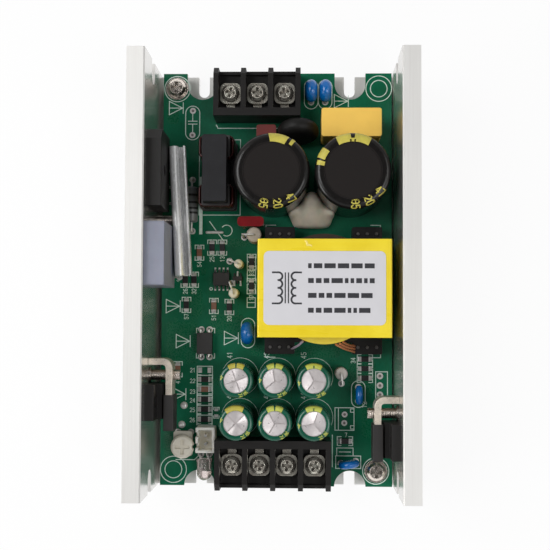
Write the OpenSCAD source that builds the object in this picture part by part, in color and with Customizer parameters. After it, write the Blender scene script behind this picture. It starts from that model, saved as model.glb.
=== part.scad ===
// Open-frame switching power supply: a circuit board in a thick aluminium channel.
// Origin at the centre of the channel's underside, +Y to the mains input end, +Z up.

/* [Chassis] */
// Length of the channel
chassis_l = 128; // [126:1:180]
// Width over both walls
chassis_w = 83; // [82:0.5:120]
// Height of the walls above the underside
wall_h = 40; // [38:0.5:60]
// Thickness of the walls
wall_t = 5.2; // [4:0.1:5.6]
// Thickness of the base
base_t = 3; // [2:0.1:5]
// Fillet between base and wall
inner_r = 1; // [0.5:0.1:1.5]
// Chamfer along the inner top edge of the walls
edge_chamfer = 0.4; // [0.2:0.1:1]
// Distance between the mounting slots across the base
slot_spacing = 46; // [44:0.5:48]
// Width of the mounting slots in the base
base_slot_w = 3.4; // [3:0.1:4.5]
// Depth of the mounting slots in the base
base_slot_depth = 6.5; // [5:0.5:8]
// Width of the slots in the wall ends
wall_slot_w = 6; // [4:0.1:6.5]
// Depth of the slots in the wall ends
wall_slot_depth = 7; // [5:0.5:10]
// Height of the wall slots above the underside
wall_slot_z = 23.2; // [20:0.1:28]

/* [Board] */
// Thickness of the circuit board
board_t = 1.6; // [1.2:0.1:2.4]
// Height of the posts under the board
standoff_h = 4; // [3:0.1:6]
// Diameter of the spigots that fix the posts in the base
spigot_d = 4.6; // [4:0.1:4.8]
// Outer diameter of the posts
standoff_d = 6; // [5:0.1:8]
// Gap between the board and the left wall
board_gap = 1.1; // [0.5:0.1:1.5]
// Gap between the board and the right wall
board_side_gap = 0.4; // [0.3:0.1:1]
// Gap between the board's end and the end of the channel
board_end_gap = 0.2; // [0:0.1:0.5]
// Distance of the board screws from the board's long edges
screw_inset_x = 4.3; // [4:0.1:4.8]
// Distance of the board screws from the board's ends
screw_inset_y = 4.8; // [4:0.1:5]
// Width of the notches round the mounting slots
notch_w = 9.6; // [8:0.1:10]
// Depth of the notches at the input end
input_notch_depth = 8.2; // [6:0.1:9]
// Depth of the notches at the output end
output_notch_depth = 4.8; // [4:0.1:5]
// Diameter of component leads
lead_d = 0.9; // [0.6:0.05:1]
// Length of the leads below the board
lead_stub = 1.2; // [0.5:0.1:2]

/* [Screws] */
// Diameter of every machine screw
screw_d = 3; // [2.5:0.1:3.2]
// Diameter of the pan heads on the board
pan_d = 5.6; // [5:0.1:6]
// Height of the pan heads
pan_h = 2.1; // [1.6:0.1:2.4]
// Diameter of the washers
washer_d = 7; // [6:0.1:7.6]
// Thickness of the washers
washer_t = 0.6; // [0.3:0.1:1]
// Head diameter of the countersunk clamp screws
csk_d = 5.6; // [4.5:0.1:6]

/* [Terminal blocks] */
// Distance between terminal poles
pole_pitch = 8.25; // [8:0.05:8.6]
// Thickness of the barriers between poles
barrier_t = 1.5; // [1:0.1:2]
// Depth of the blocks
block_depth = 15; // [14:0.1:16]
// Height of the barriers and the back wall
block_h = 12; // [10:0.5:15]
// Thickness of the back wall
block_back_t = 2.4; // [1.5:0.1:3]
// Height of the floor under the contacts
block_floor_h = 5; // [4:0.1:6]
// Distance of the screws from the open front
pole_screw_y = 7.3; // [6.5:0.1:7.6]
// Size of the square clamp plates
plate_w = 6.3; // [5.5:0.1:6.5]
// Thickness of contacts and clamp plates
plate_t = 0.9; // [0.6:0.1:1.2]
// Distance of the input block from the board's end
input_block_setback = 0.6; // [0:0.1:1]
// Offset of the input block from the middle of the board
input_block_x = -5.5; // [-6:0.1:-5]
// Offset of the output block from the middle of the board
output_block_x = -0.3; // [-0.6:0.1:0.6]

/* [Line filter] */
// Room between the input block and the bulk capacitors
filter_row = 7.6; // [7.2:0.1:10]
// Length of the box capacitor
box_cap_w = 17.8; // [16:0.1:18.5]
// Depth of the box capacitor
box_cap_l = 8.5; // [7:0.1:9]
// Height of the box capacitor
box_cap_h = 15; // [12:0.5:18]
// Offset of the choke towards the input end
choke_shift = 1.6; // [0:0.1:2]
// Distance of the blue line capacitors from the board's end
line_disc_setback = 6.6; // [6:0.1:8]
// Gap between the two blue line capacitors
line_disc_gap = 0.7; // [0.6:0.1:1.6]
// Diameter of the thermistor disc
thermistor_d = 12.6; // [10:0.1:13]
// Thickness of the thermistor disc
thermistor_t = 5; // [4:0.1:5.5]
// Lean of the thermistor towards the input block, in degrees
thermistor_lean = 15; // [0:1:16]
// Width of the fuse
fuse_w = 6; // [5:0.1:6.4]
// Depth of the fuse
fuse_l = 4; // [3:0.1:5]
// Height of the fuse
fuse_h = 8; // [6:0.1:10]
// Width of the choke's base
choke_w = 11; // [10:0.1:11.5]
// Length of the choke's base
choke_l = 21.2; // [20:0.1:22]
// Height of the choke
choke_h = 20; // [17:0.5:24]
// Width of the choke's core
choke_core_w = 7; // [6:0.1:8]
// Length of the choke's core
choke_core_l = 19.6; // [18:0.1:20.5]
// Thickness of the choke's legs and yokes
choke_leg = 5; // [4:0.1:5.4]
// Thickness of the choke's windings
choke_wind = 0.9; // [0.6:0.1:1.1]
// Diameter of the disc capacitors
disc_d = 6.9; // [5:0.1:7]
// Thickness of the disc capacitors
disc_t = 3.7; // [3:0.1:3.8]

/* [Bulk capacitors] */
// Diameter over the sleeve
bulk_d = 22; // [20:0.1:22.4]
// Height of the bulk capacitors
bulk_h = 25; // [20:0.5:31]
// Distance between the leads
bulk_pitch = 10; // [7.5:0.5:10]
// Thickness of the sleeves
sleeve_t = 0.3; // [0.2:0.05:0.5]
// Diameter of the opening in the top of the sleeve
bulk_opening_d = 16.3; // [14:0.1:18]
// Radius of the mass of adhesive between the two
glue_r = 6.4; // [4:0.1:7]
// Height of that mass above the board
glue_h = 5.2; // [3:0.1:5.6]

/* [Output capacitors] */
// Diameter over the sleeve
cap_d = 10.2; // [8:0.1:10.3]
// Height of the output capacitors
cap_h = 16; // [12:0.5:25]
// Diameter of the opening in the top of the sleeve
cap_opening_d = 7.3; // [6:0.1:7.6]
// Gap between neighbours in a row
cap_gap_x = 1.2; // [0.6:0.1:1.4]
// Gap between the two rows
cap_gap_y = 2.2; // [0.6:0.1:2.6]
// Distance between the leads
cap_pitch = 5; // [3.5:0.5:5]

/* [Transformer] */
// Width of the ferrite core
core_w = 37.2; // [35:0.1:37.6]
// Depth of the ferrite core
core_l = 27.3; // [26:0.1:28]
// Height of the ferrite core
core_h = 24.4; // [22:0.1:30]
// Thickness of the core's top and bottom plates
core_plate = 4.6; // [4:0.1:5.5]
// Diameter of the core's round centre post
core_post_d = 14.4; // [12:0.1:15]
// Diameter of the taped winding
winding_d = 32; // [30:0.1:33]
// Thickness of the outer tape
tape_t = 0.5; // [0.3:0.05:0.6]
// Wall thickness of the bobbin
bobbin_t = 1; // [0.8:0.1:1.2]
// Depth of the pin rails
rail_depth = 4.2; // [3:0.1:4.6]
// Length of each pin rail
rail_w = 9; // [8:0.1:9.6]
// Length of the paper label
label_w = 34.6; // [30:0.1:35]
// Height of the paper label
label_l = 21; // [18:0.1:24]

/* [Rectifier clamp] */
// Width of the bridge rectifier
bridge_w = 22.3; // [20:0.1:23]
// Height of the bridge rectifier
bridge_h = 18.5; // [17:0.1:19]
// Thickness of the bridge rectifier
bridge_t = 4.3; // [3.6:0.1:4.6]
// Top of the bridge rectifier below the wall top
bridge_drop = 4.1; // [3.5:0.1:6]
// Width of the transistor's body
switch_w = 15.9; // [14:0.1:16.2]
// Height of the transistor's body
switch_h = 20.8; // [18:0.1:21]
// Thickness of the transistor's body
switch_t = 4.7; // [4:0.1:5.2]
// Wall thickness of the silicone cap
silicone_t = 0.4; // [0.3:0.05:0.6]
// Top of the silicone cap below the wall top
silicone_drop = 2.2; // [2:0.1:4]
// Room for the screw between the two devices
device_gap = 4.6; // [4:0.1:6]
// Distance of the bar's screw from the middle of the channel
bar_screw_y = 17; // [15:0.1:18]
// Length of the clamp bar
bar_l = 38.8; // [37:0.1:41]
// Width of the clamp bar's section
bar_w = 5; // [4.4:0.1:5.2]
// Height of the clamp bar's web
bar_h = 8.3; // [8:0.1:9]
// Sheet thickness of the clamp bar
bar_t = 1; // [0.8:0.05:1.2]
// Underside of the clamp bar above the board
bar_lift = 5.2; // [4.8:0.1:5.6]

/* [Output rectifiers] */
// Width of the output rectifiers
rect_w = 10.2; // [9:0.1:10.8]
// Thickness of the output rectifiers
rect_t = 4.6; // [4:0.1:5]
// Thickness of their thin upper part
rect_tab_t = 2.7; // [2:0.1:3]
// Height of the output rectifiers
rect_h = 15.9; // [14:0.1:17]
// Height of their thick lower part
rect_body_h = 9.2; // [8:0.1:10]
// Underside of the output rectifiers above the board
rect_lift = 10; // [9:0.1:10.6]
// Distance of the left rectifier's middle behind the output block
left_rect_setback = 12; // [10:0.1:13]
// Distance of the right rectifier's middle behind the output block
right_rect_setback = 1.2; // [0:0.1:2]
// Plate thickness of the clamps
clamp_t = 1.9; // [1.5:0.1:2]
// Height of the clamp plates
clamp_h = 7.2; // [6:0.1:8]
// Top of the clamps above the board
clamp_top = 19.4; // [18.8:0.1:20]
// Wall thickness of the sleeves on the clamps
boot_t = 0.45; // [0.3:0.05:0.5]

/* [Trimmer] */
// Diameter of the rotor
rotor_d = 7; // [6:0.1:7.2]
// Height of the rotor
rotor_h = 1.9; // [1.5:0.1:2.5]
// Width of the trimmer's base
trimmer_w = 5.8; // [5.4:0.1:6.2]
// Height of the rotor's underside above the board
trimmer_lift = 4; // [3:0.1:5]
// Diameter of the pivot
pivot_d = 1.8; // [1.4:0.1:2.2]

/* [Fits] */
// Running and assembly clearance
fit = 0.1; // [0.05:0.01:0.15]
// Free space left between neighbouring parts
part_gap = 0.7; // [0.5:0.05:0.9]

/* [Hidden] */
$fn = 48;
tiny = 0.01;

// Main levels and edges
inner_x = chassis_w / 2 - wall_t;
board_w = 2 * (inner_x - board_gap);
board_l = chassis_l - 2 * board_end_gap;
board_z = base_t + standoff_h;
top_z = board_z + board_t;
in_end = board_l / 2;
out_end = -board_l / 2;
left_edge = -board_w / 2;
right_edge = board_w / 2;
hole_d = lead_d + 3 * fit;
bore_d = screw_d + 2 * fit;
edge_gap = 2 * part_gap;

// Board screws sit at two corners, plain posts at the other two
post_x = right_edge - screw_inset_x;
post_y = in_end - screw_inset_y;
post_places = [[-post_x, post_y], [post_x, -post_y], [post_x, post_y], [-post_x, -post_y]];
screw_places = [post_places[0], post_places[1]];
post_bore_rest = base_t / 2;
board_screw_l = standoff_h + board_t + washer_t - 3 * fit;

// Terminal blocks
input_poles = 3;
output_poles = 4;
input_front = in_end - input_block_setback;
input_back = input_front - block_depth;
output_front = out_end;
output_back = output_front + block_depth;
pole_pin_y = block_depth - block_back_t - lead_d;
pole_screw_l = block_floor_h - 1;
pole_bore_depth = pole_screw_l - plate_t;
terminal_head_d = plate_w - 1.3;

// Bulk capacitors stand against the right edge, the choke beside them
bulk_y = input_back - filter_row - bulk_d / 2;
bulk_2_x = right_edge - edge_gap - bulk_d / 2;
bulk_1_x = bulk_2_x - bulk_d - edge_gap;
bulk_top = bulk_y + bulk_d / 2;
bulk_bottom = bulk_y - bulk_d / 2;
bulk_can_h = bulk_h - sleeve_t - fit / 2;
choke_x = bulk_1_x - bulk_d / 2 - part_gap / 2 - choke_w / 2;
choke_y = bulk_y + choke_shift;
choke_base_h = 1.2;
choke_leg_y = choke_core_l / 2 - choke_leg / 2;
choke_flange = 0.7;
choke_low = choke_base_h + choke_leg + 2 * fit;
choke_high = choke_h - choke_leg - fit;

// Row between the input block and the bulk capacitors
box_cap_x = bulk_2_x;
box_cap_y = bulk_top + part_gap + box_cap_l / 2;
thermistor_x = box_cap_x - box_cap_w / 2 - part_gap - thermistor_d / 2;
thermistor_y = bulk_top + 1.6 * part_gap + thermistor_t / 2;
fuse_x = thermistor_x - thermistor_d / 2 - part_gap / 2 - fuse_w / 2;
fuse_y = thermistor_y;
disc_lift = 1.6;
line_disc_y = in_end - line_disc_setback;
line_disc_1_x = input_block_x + pole_pitch * input_poles / 2 + barrier_t / 2 + edge_gap + disc_t / 2;
line_disc_2_x = line_disc_1_x + disc_t + line_disc_gap;

// Transformer
tape_w = core_w + 2 * tape_t;
tape_h = core_h + 2 * tape_t;
transformer_x = right_edge - edge_gap - tape_w / 2;
rail_reach = part_gap / 2 + rail_depth + 1;
transformer_y = bulk_bottom - 5 * part_gap - rail_reach - core_l / 2;
core_z = top_z + part_gap + tape_t;
window_h = core_h - 2 * core_plate;
window_z = core_z + core_plate;
bobbin_tube_d = core_post_d + 2 * fit + 2 * bobbin_t;
flange_d = winding_d + 2 * fit;
leg_bore_d = winding_d + 6 * fit;
rail_y = core_l / 2 + part_gap / 2 + 1 + rail_depth / 2;
rail_x = tape_w / 2 - edge_gap - rail_w / 2;
rail_h = window_z + fit + bobbin_t - top_z;
rail_pins = 3;
rail_pin_pitch = 2.8;
label_t = 0.15;

// Output capacitors in two rows of three behind the output block
cap_can_h = cap_h - sleeve_t - fit / 2;
cap_x0 = output_block_x + part_gap;
cap_row_2 = output_back + part_gap / 2 + cap_d / 2;
cap_row_1 = cap_row_2 + cap_d + cap_gap_y;
cap_places = [for (y = [cap_row_1, cap_row_2]) for (i = [-1:1]) [cap_x0 + i * (cap_d + cap_gap_x), y]];

// Bridge rectifier, transistor in its cap and the bar that clamps both
silicone_thick = switch_t + 2 * (silicone_t + fit);
silicone_w = switch_w + 2 * (silicone_t + fit) + 1.3;
silicone_h = switch_h + silicone_t + fit + 2.4;
bridge_y = bar_screw_y + device_gap / 2 + bridge_w / 2;
silicone_y = bar_screw_y - device_gap / 2 - silicone_w / 2;
bridge_z = wall_h - bridge_drop - bridge_h;
silicone_z = wall_h - silicone_drop - silicone_h;
switch_z = wall_h - silicone_drop - silicone_t - fit - switch_h;
bar_z = top_z + bar_lift;
bar_end_y = bridge_y + bridge_w / 2 - 3;
bar_angle = atan2(silicone_thick - bridge_t, bar_end_y - (silicone_y + silicone_w / 2));
bar_screw_z = bar_z + 2.4;
lead_jog_z = top_z + 1.2;
bridge_pitch = 5.08;
switch_pitch = 5.45;
power_lead_x = -inner_x + bridge_t + part_gap;

// Output rectifiers and their clamps
left_rect_y = output_back + left_rect_setback;
right_rect_y = output_back + right_rect_setback;
rect_z = top_z + rect_lift;
rect_pitch = 2.54;
rect_lead_x = inner_x - rect_t + fit;
arm_x = inner_x - rect_t - fit / 2 - boot_t - fit / 2;
arm_z = top_z + clamp_top - clamp_h;
wall_washer_d = screw_d + 1.6;
clamp_screw_y = rect_w / 2 + wall_washer_d / 2 + fit;
clamp_leg_y = clamp_screw_y + wall_washer_d / 2 + part_gap + clamp_t;
clamp_screw_z = arm_z + clamp_h / 2;
clamp_tip = 1.9;
clamp_screw_l = chassis_w / 2 - arm_x + clamp_t + clamp_tip;
bar_screw_l = wall_t + silicone_thick + bar_t + clamp_tip;
// Start and end of each boot, from the middle of its rectifier
left_boot = [-8.5, 1.8];
right_boot = [-6, 4.5];

// Small parts on the low side of the board
diode_d = 3.8;
diode_l = 11;
diode_place = [left_edge + 9.3, bulk_y - 7.2];
diode_span = diode_l + 5;
film_place = [bulk_1_x - 6.8, bulk_bottom - 1.9];
film_size = [8, 3, 7.5];
glue_place = [(bulk_1_x + bulk_2_x) / 2, bulk_bottom - part_gap];
tall_resistor = [transformer_x - tape_w / 2 - 1.9, transformer_y + core_l / 2 + 3, 4.6, 8.2, 180];
short_resistors = [
  [transformer_x - tape_w / 2 - 6.6, transformer_y + 8, 2.7, 6.4, 160],
  [transformer_x - tape_w / 2 - 8.1, transformer_y - 0.9, 3, 6.4, 110],
  [cap_x0 + cap_d + cap_gap_x + cap_d / 2 + 3.2, cap_row_1 + 1.9, 3.8, 7.4, 275]
];
resistors = concat([tall_resistor], short_resistors);
resistor_reach = 3.4;
// Place, turn, diameter and thickness of each disc
disc_places = [
  [transformer_x - tape_w / 2 - 4, transformer_y - 13, 90, disc_d, disc_t],
  [right_edge - 9.6, cap_row_1 - 4.7, 90, disc_d * 0.86, disc_t * 0.58],
  [right_edge - 12.7, out_end + 7.4, 8, disc_d * 0.94, disc_t * 0.58]
];
chip_size = [3.2, 1.6, 0.6];
chip_cap_t = 0.5;
left_column = [for (i = [1:5]) [left_edge + 13.6, cap_row_1 + 2.6 - 3.05 * i, 0]];
right_column = [for (i = [0:2]) [right_edge - 7.6, cap_row_1 + 6 - 2.9 * i, 0]];
loose_chips = [
  [left_edge + 11.6, transformer_y + 11.8, 90], [left_edge + 15.5, transformer_y + 13.4, 90],
  [left_edge + 18.7, transformer_y + 13.4, 90], [left_edge + 7.3, transformer_y + 3.4, 90],
  [left_edge + 10, transformer_y + 3.4, 90], [left_edge + 7.7, transformer_y - 4.4, 90],
  [left_edge + 16.2, transformer_y - 4.7, 90], [left_edge + 21, transformer_y - 5, 90],
  [left_edge + 5.2, cap_row_1 + 2.6, 90], [right_edge - 13.7, out_end + 13.8, 0],
  [transformer_x - tape_w / 2 - 3, transformer_y + 9, 90],
  [transformer_x - tape_w / 2 - 3, transformer_y + 1.5, 90]
];
controller_place = [left_edge + 18.5, transformer_y + 3.6];
controller_size = [4.9, 3.9, 1.5];
controller_pitch = 1.27;
transistor_size = [2.9, 1.3, 1];
transistor_pitch = 1.9;
transistor_place = [left_edge + 23.5, transformer_y + 3.8];
opto_place = [left_edge + 13.7, transformer_y - 16.2];
opto_size = [4.6, 6.5, 3.4];
opto_span = 8.4;
opto_pitch = 2.54;
trimmer_place = [left_edge + 7.4, out_end + 12.3];
trimmer_leads = [[-2, 3.9], [2, 3.9], [0, -2.3]];
trimmer_l = 7.5;
trimmer_shift = 0.85;
trimmer_base_h = 1.4;
header_size = [5.75, 7.6, 7];
output_side = output_block_x - pole_pitch * output_poles / 2 - barrier_t / 2;
header_place = [output_side - part_gap / 2 - header_size[0] / 2, out_end + 14.5];
header_wall = 0.8;
header_pitch = 2.5;
led_place = [header_place[0] - 0.6, out_end + 9.5];
led_d = 4.4;
led_rim_d = 5;
led_l = 6.6;
led_axis_z = top_z + led_rim_d / 2 + fit;

// Lead places, shared by the parts and by the holes in the board
function along(p, d, a) = [for (s = [-1, 1]) [p[0] + s * d / 2 * cos(a), p[1] + s * d / 2 * sin(a)]];
function can_round(d) = d * 0.06;
function row(n, pitch) = [for (i = [0:n - 1]) (i - (n - 1) / 2) * pitch];
input_pins = [for (x = row(input_poles, pole_pitch)) [input_block_x + x, input_front - pole_pin_y]];
output_pins = [for (x = row(output_poles, pole_pitch)) [output_block_x + x, output_front + pole_pin_y]];
bulk_leads = concat(along([bulk_1_x, bulk_y], bulk_pitch, 90), along([bulk_2_x, bulk_y], bulk_pitch, 90));
cap_leads = [for (p = cap_places) for (q = along(p, cap_pitch, 0)) q];
box_leads = along([box_cap_x, box_cap_y], box_cap_w - 2.8, 0);
thermistor_leads = along([thermistor_x, thermistor_y], thermistor_d * 0.6, 0);
fuse_leads = along([fuse_x, fuse_y], fuse_w - 1.8, 0);
line_disc_places = [for (x = [line_disc_1_x, line_disc_2_x]) [x, line_disc_y, 90, disc_d, disc_t]];
all_discs = concat(line_disc_places, disc_places);
disc_leads = [for (p = all_discs) for (q = along(p, p[3] * 0.7, p[2])) q];
choke_pin_x = choke_w / 2 - 1.4;
choke_pins = [for (sx = [-1, 1]) for (sy = [-1, 1]) [choke_x + sx * choke_pin_x, choke_y + sy * choke_leg_y]];
bridge_leads = [for (y = row(4, bridge_pitch)) [power_lead_x, bridge_y + y]];
switch_leads = [for (y = row(3, switch_pitch)) [power_lead_x + 1.6, silicone_y + y]];
left_rect_leads = [for (y = row(3, rect_pitch)) [-rect_lead_x, left_rect_y + y]];
right_rect_leads = [for (y = row(3, rect_pitch)) [rect_lead_x, right_rect_y + y]];
diode_leads = along(diode_place, diode_span, 90);
film_leads = along(film_place, film_size[0] * 0.6, 0);
resistor_feet = [for (r = resistors) [r[0] + resistor_reach * cos(r[4]), r[1] + resistor_reach * sin(r[4])]];
resistor_leads = concat([for (r = resistors) [r[0], r[1]]], resistor_feet);
rail_pin_places = [
  for (sy = [-1, 1]) for (sx = [-1, 1]) for (x = row(rail_pins, rail_pin_pitch))
    [transformer_x + sx * rail_x + x, transformer_y + sy * rail_y]
];
opto_leads = [
  for (sx = [-1, 1]) for (sy = [-1, 1])
    [opto_place[0] + sx * opto_pitch / 2, opto_place[1] + sy * opto_span / 2]
];
trimmer_holes = [for (p = trimmer_leads) trimmer_place + p];
header_holes = along(header_place, header_pitch, 90);
led_holes = along(led_place, 2.54, 0);
all_leads = concat(
  input_pins, output_pins, bulk_leads, cap_leads, box_leads, thermistor_leads, fuse_leads, disc_leads,
  choke_pins, bridge_leads, switch_leads, left_rect_leads, right_rect_leads, diode_leads, film_leads,
  resistor_leads, rail_pin_places, opto_leads, trimmer_holes, header_holes, led_holes
);

// Colours
aluminium = [0.86, 0.86, 0.86];
steel = [0.72, 0.72, 0.7];
board_green = [0.05, 0.38, 0.26];
black = [0.13, 0.13, 0.13];
yellow = [0.95, 0.85, 0.2];

// Shared shapes
module rounded_square(w, l, r) {
  square([w - 2 * r, l], center = true);
  square([w, l - 2 * r], center = true);
  for (sx = [-1, 1], sy = [-1, 1]) translate([sx * (w / 2 - r), sy * (l / 2 - r)]) circle(r);
}

module rounded_block(w, l, h, r) {
  linear_extrude(h) rounded_square(w, l, r);
}

module leads(places, top) {
  for (p = places) translate([p[0], p[1], board_z - lead_stub])
    cylinder(d = lead_d, h = top - board_z + lead_stub);
}

module wire(a, b, d) {
  v = b - a;
  length = norm(v);
  translate(a) rotate([0, acos(v[2] / length), atan2(v[1], v[0])]) cylinder(d = d, h = length);
}

module bent_lead(points, d) {
  for (i = [0:len(points) - 2]) wire(points[i], points[i + 1], d);
  for (i = [1:len(points) - 2]) translate(points[i]) sphere(d = d * 1.08);
}

module open_slot(w, depth, h) {
  translate([0, w / 2 - depth, 0]) cylinder(d = w, h = h);
  translate([-w / 2, w / 2 - depth, 0]) cube([w, depth, h]);
}

// Pan head with a cross recess, seat at the origin
module pan_head(d, h) {
  crown = h * 0.45;
  recess = d * 0.19;
  difference() {
    union() {
      cylinder(d = d, h = h - crown + tiny);
      translate([0, 0, h - crown]) cylinder(d1 = d, d2 = d * 0.72, h = crown);
    }
    for (a = [0, 90]) rotate(a) translate([-d * 0.3, -recess / 2, h * 0.4]) cube([d * 0.6, recess, h]);
  }
}

module pan_screw(d, h, shank) {
  pan_head(d, h);
  translate([0, 0, -shank]) cylinder(d = screw_d, h = shank + tiny);
}

// Countersunk screw along +X, outer face at the origin
module wall_screw(length) {
  rotate([0, 90, 0]) difference() {
    union() {
      cylinder(d = screw_d, h = length);
      cylinder(d1 = csk_d, d2 = screw_d, h = (csk_d - screw_d) / 2);
    }
    for (a = [45, 135]) rotate(a) translate([-csk_d * 0.3, -0.4, -tiny]) cube([csk_d * 0.6, 0.8, 1]);
  }
}

module wall_bore() {
  rotate([0, 90, 0]) {
    translate([0, 0, -tiny]) cylinder(d = bore_d, h = wall_t + 2 * tiny);
    translate([0, 0, -tiny]) cylinder(d1 = csk_d + 2 * fit, d2 = bore_d, h = (csk_d - screw_d) / 2);
  }
}

// Chassis
module channel_section() {
  difference() {
    translate([-chassis_w / 2, 0]) square([chassis_w, wall_h]);
    translate([-inner_x, base_t + inner_r]) square([2 * inner_x, wall_h]);
    translate([-inner_x + inner_r, base_t]) square([2 * (inner_x - inner_r), wall_h]);
    for (s = [-1, 1]) translate([s * (inner_x - inner_r), base_t + inner_r]) circle(inner_r);
    for (s = [-1, 1]) polygon([
      [s * (inner_x - tiny), wall_h - edge_chamfer], [s * (inner_x + edge_chamfer), wall_h + tiny],
      [s * (inner_x - tiny), wall_h + tiny]
    ]);
  }
}

module chassis_channel() {
  color(aluminium) difference() {
    rotate([90, 0, 0]) linear_extrude(chassis_l, center = true) channel_section();
    for (p = post_places) translate([p[0], p[1], -tiny]) cylinder(d = spigot_d + fit, h = base_t + 2 * tiny);
    for (sx = [-1, 1], end = [0, 180]) rotate(end) translate([sx * slot_spacing / 2, chassis_l / 2, -tiny])
      open_slot(base_slot_w, base_slot_depth, base_t + 2 * tiny);
    for (sx = [-1, 1], end = [0, 180]) rotate(end)
      translate([sx * (chassis_w / 2 - wall_t / 2) - wall_t, chassis_l / 2, wall_slot_z])
        rotate([0, 90, 0]) open_slot(wall_slot_w, wall_slot_depth, 2 * wall_t);
    translate([-chassis_w / 2, bar_screw_y, bar_screw_z]) wall_bore();
    translate([-chassis_w / 2, left_rect_y + clamp_screw_y, clamp_screw_z]) wall_bore();
    translate([chassis_w / 2, right_rect_y + clamp_screw_y, clamp_screw_z]) mirror([1, 0, 0]) wall_bore();
  }
}

// Board and what fixes it
module circuit_board() {
  color(board_green) translate([0, 0, board_z]) linear_extrude(board_t) difference() {
    translate([left_edge, out_end]) square([inner_x - board_side_gap - left_edge, board_l]);
    for (s = [-1, 1]) translate([s * slot_spacing / 2, in_end - input_notch_depth + notch_w / 2]) {
      circle(d = notch_w);
      translate([-notch_w / 2, 0]) square([notch_w, input_notch_depth]);
    }
    for (s = [-1, 1]) translate([s * slot_spacing / 2, out_end + output_notch_depth - notch_w / 2]) {
      circle(d = notch_w);
      translate([-notch_w / 2, -notch_w]) square([notch_w, notch_w]);
    }
    for (p = screw_places) translate(p) circle(d = bore_d);
    for (p = all_leads) translate([p[0], p[1]]) circle(d = hole_d);
  }
}

module board_posts() {
  color(steel) for (p = post_places) translate([p[0], p[1], 0]) difference() {
    union() {
      cylinder(d = spigot_d, h = base_t + tiny);
      translate([0, 0, base_t]) cylinder(d = standoff_d, h = standoff_h);
    }
    translate([0, 0, base_t - post_bore_rest]) cylinder(d = bore_d, h = standoff_h + post_bore_rest + tiny);
  }
}

module board_screws() {
  color(steel) for (p = screw_places) translate([p[0], p[1], top_z + washer_t])
    pan_screw(pan_d, pan_h, board_screw_l);
}

module washer() {
  difference() {
    cylinder(d = washer_d, h = washer_t);
    translate([0, 0, -tiny]) cylinder(d = bore_d, h = washer_t + 2 * tiny);
  }
}

module board_washers() {
  color(steel) for (p = screw_places) translate([p[0], p[1], top_z]) washer();
}

// Barrier block with its open front at the origin and its back wall towards +Y
module terminal_block(poles) {
  width = poles * pole_pitch;
  barrier_slope = 2.2;
  front = 0.3;
  sill_t = 1;
  sill_h = block_floor_h + 1.2;
  difference() {
    union() {
      translate([-width / 2, front, 0]) cube([width, block_depth - front, block_floor_h]);
      translate([-width / 2, front, 0]) cube([width, sill_t, sill_h]);
      translate([-width / 2, block_depth - block_back_t, 0]) cube([width, block_back_t, block_h]);
      for (i = [0:poles]) translate([-width / 2 + i * pole_pitch - barrier_t / 2, 0, 0]) rotate([90, 0, 90])
        linear_extrude(barrier_t) polygon([
          [0, 0], [block_depth, 0], [block_depth, block_h], [barrier_slope, block_h],
          [0, block_h - barrier_slope]
        ]);
    }
    for (x = row(poles, pole_pitch)) {
      translate([x, pole_screw_y, block_floor_h - pole_bore_depth - fit]) cylinder(d = bore_d, h = block_h);
      translate([x, pole_pin_y, -tiny]) cylinder(d = hole_d, h = block_h / 2);
    }
  }
}

module terminal_contacts(poles) {
  pad_w = plate_w - 4 * fit;
  tongue_w = 2.6;
  tongue_l = pole_pin_y + lead_d - pole_screw_y;
  for (x = row(poles, pole_pitch)) difference() {
    union() {
      translate([x, pole_screw_y, block_floor_h]) rounded_block(pad_w, pad_w, plate_t, 1.6);
      translate([x - tongue_w / 2, pole_screw_y, block_floor_h]) cube([tongue_w, tongue_l, plate_t]);
      translate([x, pole_pin_y, -board_t - lead_stub])
        cylinder(d = lead_d, h = block_floor_h + board_t + lead_stub + tiny);
    }
    translate([x, pole_screw_y, 0]) cylinder(d = bore_d, h = block_h);
  }
}

// Square plates with a raised rim round the screw heads
module terminal_clamp_plates(poles) {
  rim_h = 0.5;
  seat_d = terminal_head_d + 4 * fit;
  for (x = row(poles, pole_pitch)) translate([x, pole_screw_y, block_floor_h + plate_t]) difference() {
    rounded_block(plate_w, plate_w, plate_t + rim_h, 1.7);
    translate([0, 0, plate_t]) cylinder(d = seat_d, h = rim_h + 1);
    translate([0, 0, -tiny]) cylinder(d = bore_d, h = plate_t + 2 * tiny);
  }
}

module pole_screws(poles) {
  for (x = row(poles, pole_pitch)) translate([x, pole_screw_y, block_floor_h + 2 * plate_t])
    rotate(20 * x) pan_screw(terminal_head_d, pan_h, pole_screw_l);
}

module at_input_block() {
  translate([input_block_x, input_front, top_z]) rotate(180) children();
}

module at_output_block() {
  translate([output_block_x, output_front, top_z]) children();
}

module input_terminal_block() {
  color(black) at_input_block() terminal_block(input_poles);
}

module output_terminal_block() {
  color(black) at_output_block() terminal_block(output_poles);
}

module input_contacts() {
  color(steel) at_input_block() terminal_contacts(input_poles);
}

module output_contacts() {
  color(steel) at_output_block() terminal_contacts(output_poles);
}

module clamp_plates() {
  color(steel) {
    at_input_block() terminal_clamp_plates(input_poles);
    at_output_block() terminal_clamp_plates(output_poles);
  }
}

module terminal_screws() {
  color(steel) {
    at_input_block() pole_screws(input_poles);
    at_output_block() pole_screws(output_poles);
  }
}

// Line filter
module line_fuse() {
  color([0.3, 0.12, 0.1]) {
    translate([fuse_x, fuse_y, top_z]) rounded_block(fuse_w, fuse_l, fuse_h, 0.8);
    leads(fuse_leads, top_z + tiny);
  }
}

// Dipped disc standing on edge, its flat faces to +Y and -Y
module dipped_disc(d, t) {
  rotate([90, 0, 0]) rotate_extrude() intersection() {
    union() {
      translate([0, -t / 2]) square([d / 2 - t / 2, t]);
      translate([d / 2 - t / 2, 0]) circle(d = t);
    }
    translate([0, -t]) square([d, 2 * t]);
  }
}

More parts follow.
